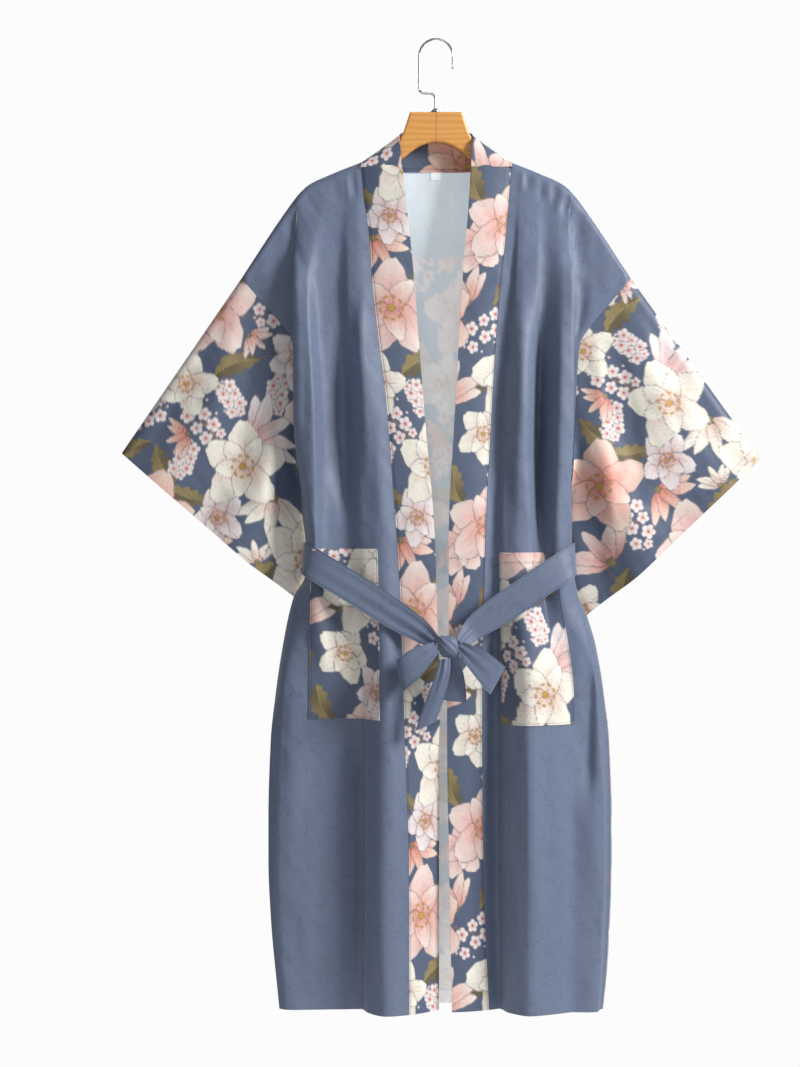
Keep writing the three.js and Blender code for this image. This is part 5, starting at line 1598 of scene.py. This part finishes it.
@dataclass
class BeltPiece:
    """A stretch of the belt or a part of the bow: a strip of doubled cloth along a table of stations."""

    name: str
    kind: Strip
    rows: Rows
    cut: Cut
    sign: int = 1
    half_width: float = 20.0
    pleats: Rows = ((-0.45, 0.16, -1.0), (0.05, 0.14, 0.9), (0.5, 0.18, -0.8))

    def sheet(self) -> Sheet:
        """The strip: across each station, points to both sides of its middle, with lengthwise pleats.

        The pleats are bells across the width. They deepen towards the knot, where the cloth is gathered.
        """
        table = np.array(self.rows, float)
        knots = np.linspace(0, 1, len(table))
        v = np.linspace(0, 1, 97)
        x, y, z, a, b = (curve_through(knots, table[:, i], v) for i in range(5))
        if self.kind is Strip.BELT:
            half, angle, gather = self.half_width * b, -self.sign * a, ease((v - 0.45) / 0.5)
        elif self.kind is Strip.LOOP:
            half, angle, gather = a, b, ease(np.abs(v - 0.5) * 2.4 - 0.2)
        else:
            half, angle, gather = a, b + np.pi / 2, 1 - ease(v / 0.8)
        s = np.linspace(-1, 1, 19)
        across = s[None] * half[:, None]
        x, y, z, angle = (part[:, None] for part in (x, y, z, angle))
        grid = np.stack([x + np.sin(angle) * across, y + 0 * across, z + np.cos(angle) * across], -1)
        if self.kind is Strip.TAIL:
            grid[..., 1] -= 2 * (1 - s**2)
        facing = self._facing(grid, v)
        sheet = Sheet(grid, np.zeros((*grid.shape[:2], 2)), facing)
        out = sheet.square()
        pleat = sum(depth * np.exp(-(((s - at) / wide) ** 2)) for at, wide, depth in self.pleats)
        lift = pleat[None] * (0.15 + 1.1 * gather[:, None]) * (1 - np.abs(s) ** 6)
        sheet.grid = grid + out * lift[..., None]
        length = np.concatenate([[0], np.cumsum(np.linalg.norm(np.diff(grid[:, 9], axis=0), axis=1))])
        s, length = np.broadcast_arrays(s[None], length[:, None])
        sheet.flat = np.stack([s * self.half_width, length], -1)
        sheet.sewn = np.minimum(FAR_FROM_SEAM, (1 - np.abs(s)) * self.half_width)
        sheet.thickness = DOUBLED
        return sheet

    def _facing(self, grid: Array, v: Array) -> Array:
        """Where the outer face looks: to the front, out of the loop's bend, or out of the side."""
        facing = np.zeros(grid.shape)
        k = v[:, None]
        if self.kind is Strip.LOOP:
            facing[..., 1] = np.where(k < 0.4, -1, np.where(k > 0.6, 1, 0))
            facing[..., 0] = np.where((k >= 0.4) & (k <= 0.6), self.sign, 0)
        elif self.kind is Strip.BELT:
            facing[..., 1] = -1
            facing[..., 0] = np.where(k < 0.2, self.sign * 2, 0)
        else:
            facing[..., 1] = -1
        return facing

    def build(self, materials: Materials) -> bpy.types.Object:
        """Makes the strip."""
        return sew(self.name, self.sheet(), Look.PLAIN_DOUBLE, materials)


@dataclass
class BeltBack:
    """The belt round the back: the back panel's own points at its height, moved out."""

    back: BackPanel
    cut: Cut
    centre_z: float = BELT_Z
    half_width: float = 20.0

    def build(self, materials: Materials) -> bpy.types.Object:
        """Makes the strip between the two side seams, thin enough for the back light to pass."""
        share = np.linspace(-1, 1, 170)
        z = np.linspace(self.centre_z + self.half_width, self.centre_z - self.half_width, 23)
        zz = np.broadcast_to(z[:, None], (len(z), len(share)))
        base = self.back.points(np.broadcast_to(share, zz.shape), zz)
        s = (zz - self.centre_z) / self.half_width
        soft = 0.35 * np.sin(base[..., 0] / 21 + 1.5 * s) * (1 - s**2)
        grid = base + outward(base, BACKWARD) * (LAYER_GAP + DOUBLED + soft)[..., None]
        sheet = Sheet(grid, flat_of(grid), BACKWARD, (1 - np.abs(s)) * self.half_width, DOUBLED)
        obj = sew("belt_back", sheet, Look.BELT_BACK, materials)
        obj.visible_shadow = False
        return obj


def ring_solid(name: str, grid: Array) -> bpy.types.Mesh:
    """A closed solid over rings of points in millimetres, with a fan at its first and last ring."""
    rows, cols = grid.shape[:2]
    points = np.concatenate([grid.reshape(-1, 3), [grid[0].mean(0), grid[-1].mean(0)]])
    count = rows * cols
    c = np.arange(cols)
    after = (c + 1) % cols
    sides = grid_faces(rows, cols, ring=True)
    first = np.stack([c, after, 0 * c + count], -1)
    last = np.stack([(rows - 1) * cols + after, (rows - 1) * cols + c, 0 * c + count + 1], -1)
    if signed_volume(points, np.concatenate([sides, first[:, (0, 1, 2, 2)], last[:, (0, 1, 2, 2)]])) < 0:
        sides, first, last = sides[:, ::-1], first[:, ::-1], last[:, ::-1]
    mesh = bpy.data.meshes.new(name)
    mesh.from_pydata((points * MM).tolist(), [], sides.tolist() + first.tolist() + last.tolist())
    mesh.shade_smooth()
    return mesh


@dataclass
class BowKnot:
    """The knot: a squarish lump of cloth with slanting gathers and one turn of the belt over it."""

    centre: tuple[float, float, float] = (14.6, -78.0, -802.5)
    half_width: float = 14.4
    half_depth: float = 10.6
    half_height: float = 14.2
    wraps: int = 3
    groove: float = 1.6
    strap: float = 2.3

    def build(self, materials: Materials) -> bpy.types.Object:
        """A sphere over turn and tilt, squared off by powers and dented along slanting waves."""
        turn = round_angles(96)
        tilt = np.linspace(0.02, np.pi - 0.02, 60)[:, None]
        x, y, z = np.sin(tilt) * np.cos(turn), np.sin(tilt) * np.sin(turn), np.cos(tilt) + 0 * turn
        wide = np.sign(x) * np.abs(x) ** 0.8
        tall = np.sign(z) * np.abs(z) ** 0.85
        slant = x * 0.8 + z * 0.6
        dent = self.groove * (0.5 - 0.5 * np.cos(slant * self.wraps * np.pi)) * (1 - z * z)
        dent = dent + 0.5 * (1 - z * z) * np.sin(9 * slant + 4 * x)
        over = 0.66 * x + 0.75 * z - 0.08
        strap = ease((0.46 - np.abs(over)) / 0.13)
        dent = dent * (1 - 0.6 * strap) - strap * (self.strap + 0.45 * np.cos(15 * over + 2 * x))
        grid = np.stack([wide * (self.half_width - dent), y * (self.half_depth - dent),
                         tall * (self.half_height - dent)], -1) + self.centre
        mesh = ring_solid("belt_knot_cloth", grid)
        flat = np.stack(np.broadcast_arrays(turn[None] * 12, tilt * 12), -1)
        flat = np.concatenate([flat.reshape(-1, 2), np.zeros((2, 2))])
        layer = mesh.uv_layers.new(name="cloth")
        corner = np.empty(len(mesh.loops), np.int32)
        mesh.loops.foreach_get("vertex_index", corner)
        layer.data.foreach_set("uv", (flat[corner] * MM).astype(np.float32).ravel())
        put(mesh, "sewn", "FLOAT", np.full(len(flat), FAR_FROM_SEAM))
        obj = place("belt_knot_cloth", mesh, [materials["plain"]], "plain_cloth", "belt_knot")
        return obj


@dataclass
class SizeLabel:
    """The bare tab in the back neck seam: a short loop of white tape."""

    back: BackPanel
    half_width: float = 6.2
    height: float = 11.6
    thickness: float = 0.7
    clear: float = 1.9
    drop: float = 0.6

    def build(self, materials: Materials) -> bpy.types.Object:
        """A small grid in front of the back panel's inner face, its lower corners a little curled."""
        s = np.linspace(-1, 1, 15)
        v = np.linspace(0, 1, 17)[:, None]
        z = NECK_SEAM_Z - self.drop - self.height * v
        half = float(self.back.width(np.array(1.0), np.array(float(STATIONS[0]))))
        share = s * self.half_width / half
        zz = np.broadcast_to(z, (len(v), len(s)))
        grid = self.back.points(np.broadcast_to(share, zz.shape), zz)
        grid[..., 1] -= self.clear + self.thickness + 0.25 * v**2 * s**2
        flat = np.stack(np.broadcast_arrays(s * self.half_width, -self.height * v), -1)
        mesh = Sheet(grid, flat, FORWARD, thickness=self.thickness).mesh("size_label_tape")
        obj = place("size_label_tape", mesh, [materials["label"]] * 2, "label_tape", "size_label")
        return obj


@dataclass
class HangerHook:
    """The wire hook: a round wire along straight runs and arcs, from its tip over the top to the stem."""

    wire: float = 3.2
    radius: float = 22.3
    tip_drop: float = 18.0
    leg: float = 43.3
    jog: float = 7.0
    stem_x: float = -1.0
    stem_end: float = -90.3

    def path(self) -> Array:
        """The wire's middle line in its own plane: x and z."""
        centre = self.wire / 2 - self.radius
        low = centre - self.leg

        def arc(x: float, z: float, radius: float, start: float, end: float, count: int) -> Array:
            """Points of a circle between two angles."""
            angle = np.linspace(start, end, count)
            return np.stack([x + radius * np.cos(angle), z + radius * np.sin(angle)], -1)

        pi = np.pi
        corner, turn = -self.radius + self.jog, self.stem_x - self.jog
        return np.concatenate([
            [(self.radius, centre - self.tip_drop + k) for k in (0.0, 6.0, 12.0)],
            arc(0, centre, self.radius, 0, pi, 64),
            [(-self.radius, centre - self.leg * k) for k in (0.25, 0.5, 0.75)],
            arc(corner, low, self.jog, pi, 1.5 * pi, 16),
            arc(turn, low - 2 * self.jog, self.jog, pi / 2, 0, 16),
            [(self.stem_x, low - 2 * self.jog - k) for k in (2.0, 3.5)],
            [(self.stem_x, self.stem_end)],
        ])

    def build(self, materials: Materials) -> bpy.types.Object:
        """Carries a circle along the path; its radius shrinks by a quarter round at the tip."""
        line = self.path()
        run = np.gradient(line, axis=0)
        run = run / np.linalg.norm(run, axis=1, keepdims=True)
        turn = round_angles(24)
        step = np.concatenate([[0], np.cumsum(np.linalg.norm(np.diff(line, axis=0), axis=1))])
        tip = np.array((0.0, 0.25, 0.6, 1.0, 1.4))
        line = np.concatenate([line[:1] + run[:1] * tip[:, None], line[1:]])
        run = np.concatenate([np.repeat(run[:1], len(tip), axis=0), run[1:]])
        step = np.concatenate([tip, step[1:]])
        r = self.wire / 2 * quarter_round((step + 0.05) / 1.5)[:, None]
        side = np.stack([run[:, 1], -run[:, 0]], -1)
        ring = r * np.cos(turn)
        across, up = (line[:, i, None] + side[:, i, None] * ring for i in (0, 1))
        grid = np.stack([across, r * np.sin(turn), up], -1)
        return chrome_piece("hook_wire", grid, materials, "hook")


@dataclass
class Ferrule:
    """The small turned collar under the hook."""

    top_z: float = -90.6
    base_z: float = -95.5
    top_radius: float = 2.6
    base_radius: float = 6.5
    stem_x: float = -1.0

    def build(self, materials: Materials) -> bpy.types.Object:
        """A profile of radius over height, turned once round: flat foot, straight rim, hollow cone."""
        height = self.top_z - self.base_z
        z = np.array((0, 0.02, 0.1, 0.2, 0.25, 0.3, 0.42, 0.58, 0.75, 0.9, 0.97, 1.0)) * height
        cone = np.clip((z / height - 0.25) / 0.75, 0, 1)
        r = self.base_radius + (self.top_radius - self.base_radius) * cone
        r = r - 0.25 * (z < 0.05)
        turn = round_angles(48)
        grid = np.stack([self.stem_x + r[:, None] * np.cos(turn), r[:, None] * np.sin(turn),
                         self.base_z + z[:, None] + 0 * turn], -1)
        return chrome_piece("hook_ferrule_turned", grid, materials, "hook_ferrule")


def chrome_piece(name: str, grid: Array, materials: Materials, node: str) -> bpy.types.Object:
    """A solid of rings in chrome, with sharp edges where it turns by more than 40 degrees."""
    mesh = ring_solid(name, grid)
    mesh.set_sharp_from_angle(angle=np.radians(40))
    return place(name, mesh, [materials["chrome"]], "hook_chrome", node)


@dataclass
class Studio:
    """A pale floor, soft light and the camera of the photograph."""

    paper: str = "#f4f4f3"
    floor_z: float = -1.62
    floor_radius: float = 0.8
    key: float = 101.0
    fill: float = 10.0
    glow: float = 72.0
    surround: float = 0.275
    lens: float = 76.1
    eye: tuple[float, float, float] = (-0.048, -3.0, -0.656)
    aim: tuple[float, float, float] = (0.0, 0.0, -0.65)

    def build(self) -> None:
        """Sets floor, lights, sky and camera."""
        self._floor()
        self._light("key", (2.3, -1.5, 0.7), 0.9, self.key)
        self._light("fill", (-0.35, -3.2, -0.45), 1.0, self.fill)
        self._light("glow", (0.3, 2.2, 0.3), 1.6, self.glow)
        self._sky()
        self._camera()

    def _floor(self) -> None:
        """A round sheet of matt paper, below the hem and inside the photograph's edge."""
        turn = round_angles(96)
        level = np.full(len(turn), self.floor_z)
        ring = np.stack([self.floor_radius * np.cos(turn), self.floor_radius * np.sin(turn), level], -1)
        mesh = bpy.data.meshes.new("studio_floor")
        mesh.from_pydata(ring.tolist(), [], [list(range(len(ring)))])
        obj = bpy.data.objects.new("studio_floor", mesh)
        bpy.context.scene.collection.objects.link(obj)
        material, tree = new_material("matt_paper")
        grain = noise(tree, add_node(tree, "TexCoord").outputs["Object"], 300.0)
        lay_surface(tree, {"Base Color": linear(self.paper), "Roughness": 0.9,
                           "Normal": bump(tree, grain, 0.1, 0.0003)})
        mesh.materials.append(material)

    def _light(self, name: str, at: tuple[float, float, float], size: float, power: float) -> None:
        """A square soft box, out of sight, that looks at the middle of the robe."""
        lamp = bpy.data.lights.new(name, "AREA")
        lamp.size = size
        lamp.energy = power
        obj = bpy.data.objects.new(name, lamp)
        obj.location = at
        obj.visible_camera = False
        aim = np.array(self.aim) - np.array(at)
        away = np.hypot(aim[0], aim[1])
        obj.rotation_euler = (np.arctan2(away, -aim[2]), 0.0, np.arctan2(-aim[0], aim[1]))
        bpy.context.scene.collection.objects.link(obj)

    def _sky(self) -> None:
        """An even pale surround: bright where it is seen, dimmer where it lights the cloth."""
        world = bpy.data.worlds.new("studio")
        world.use_nodes = True
        tree = world.node_tree
        tree.nodes.clear()
        seen = add_node(tree, "Background", {"Color": linear("#fcfcfc"), "Strength": 1.0})
        lit = add_node(tree, "Background", {"Color": linear("#f2f5fa"), "Strength": self.surround})
        path = add_node(tree, "LightPath")
        mixed = add_node(tree, "MixShader", {
            0: path.outputs["Is Camera Ray"], 1: lit.outputs[0], 2: seen.outputs[0]})
        add_node(tree, "OutputWorld", {"Surface": mixed.outputs[0]})
        bpy.context.scene.world = world
        bpy.context.scene.view_settings.view_transform = "Standard"

    def _camera(self) -> None:
        """Level, square to the robe, 36 mm of sensor along the picture's height."""
        camera = bpy.data.cameras.new("camera")
        camera.lens = self.lens
        camera.sensor_fit = "VERTICAL"
        camera.sensor_height = 36.0
        obj = bpy.data.objects.new("camera", camera)
        obj.location = self.eye
        obj.rotation_euler = (np.pi / 2, 0.0, 0.0)
        bpy.context.scene.collection.objects.link(obj)
        bpy.context.scene.camera = obj


def dress_hanger(materials: Materials) -> None:
    """Gives the board its lacquered wood."""
    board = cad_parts["hanger_wood"]
    for slot in board.material_slots:
        slot.material = materials["wood"]
    LOG.info("hanger_wood: dressed")


def main() -> None:
    """Builds the robe piece by piece, then the studio."""
    logging.basicConfig(level=logging.INFO, format="%(message)s")
    Studio().build()
    materials = all_materials()
    dress_hanger(materials)
    back = BackPanel(Cut(560, 1125, 476000))
    left = FrontPanel(LEFT, Cut(270, 1130, 212000))
    right = FrontPanel(RIGHT, Cut(270, 1130, 205000))
    pieces = (
        HangerHook(), Ferrule(), back, left, right,
        Sleeve(LEFT, Cut(600, 285, 119000)),
        Sleeve(RIGHT, Cut(615, 300, 131000)),
        FrontBand(LEFT, left, Cut(56, 1125, 57500), (20, 0)),
        FrontBand(RIGHT, right, Cut(56, 1125, 55500), (196, 150)),
        NeckBand(Cut(54, 245, 11800)),
        Pocket(left, Cut(125, 228, 22800), -676, -900, 4 / 30, 0.6, (150, 40)),
        Pocket(right, Cut(118, 230, 21000), -681, -907, 5 / 30, 0.6, (10, 300)),
        BeltPiece("belt_left", Strip.BELT, BELT_LEFT, Cut(40, 240, 9100), sign=-1),
        BeltPiece("belt_right", Strip.BELT, BELT_RIGHT, Cut(40, 215, 8200), sign=1),
        BeltBack(back, Cut(40, 375, 14800)),
        BowKnot(),
        BeltPiece("bow_loop_left", Strip.LOOP, BOW_LOOP_LEFT, Cut(41, 140, 3900), sign=-1),
        BeltPiece("bow_loop_right", Strip.LOOP, BOW_LOOP_RIGHT, Cut(41, 140, 4000), sign=1),
        BeltPiece("bow_tail_left", Strip.TAIL, BOW_TAIL_LEFT, Cut(30, 92, 1900)),
        BeltPiece("bow_tail_right", Strip.TAIL, BOW_TAIL_RIGHT, Cut(33, 58, 1600)),
        SizeLabel(back),
    )
    for piece in pieces:
        piece.build(materials)


if __name__ == "__main__":
    main()
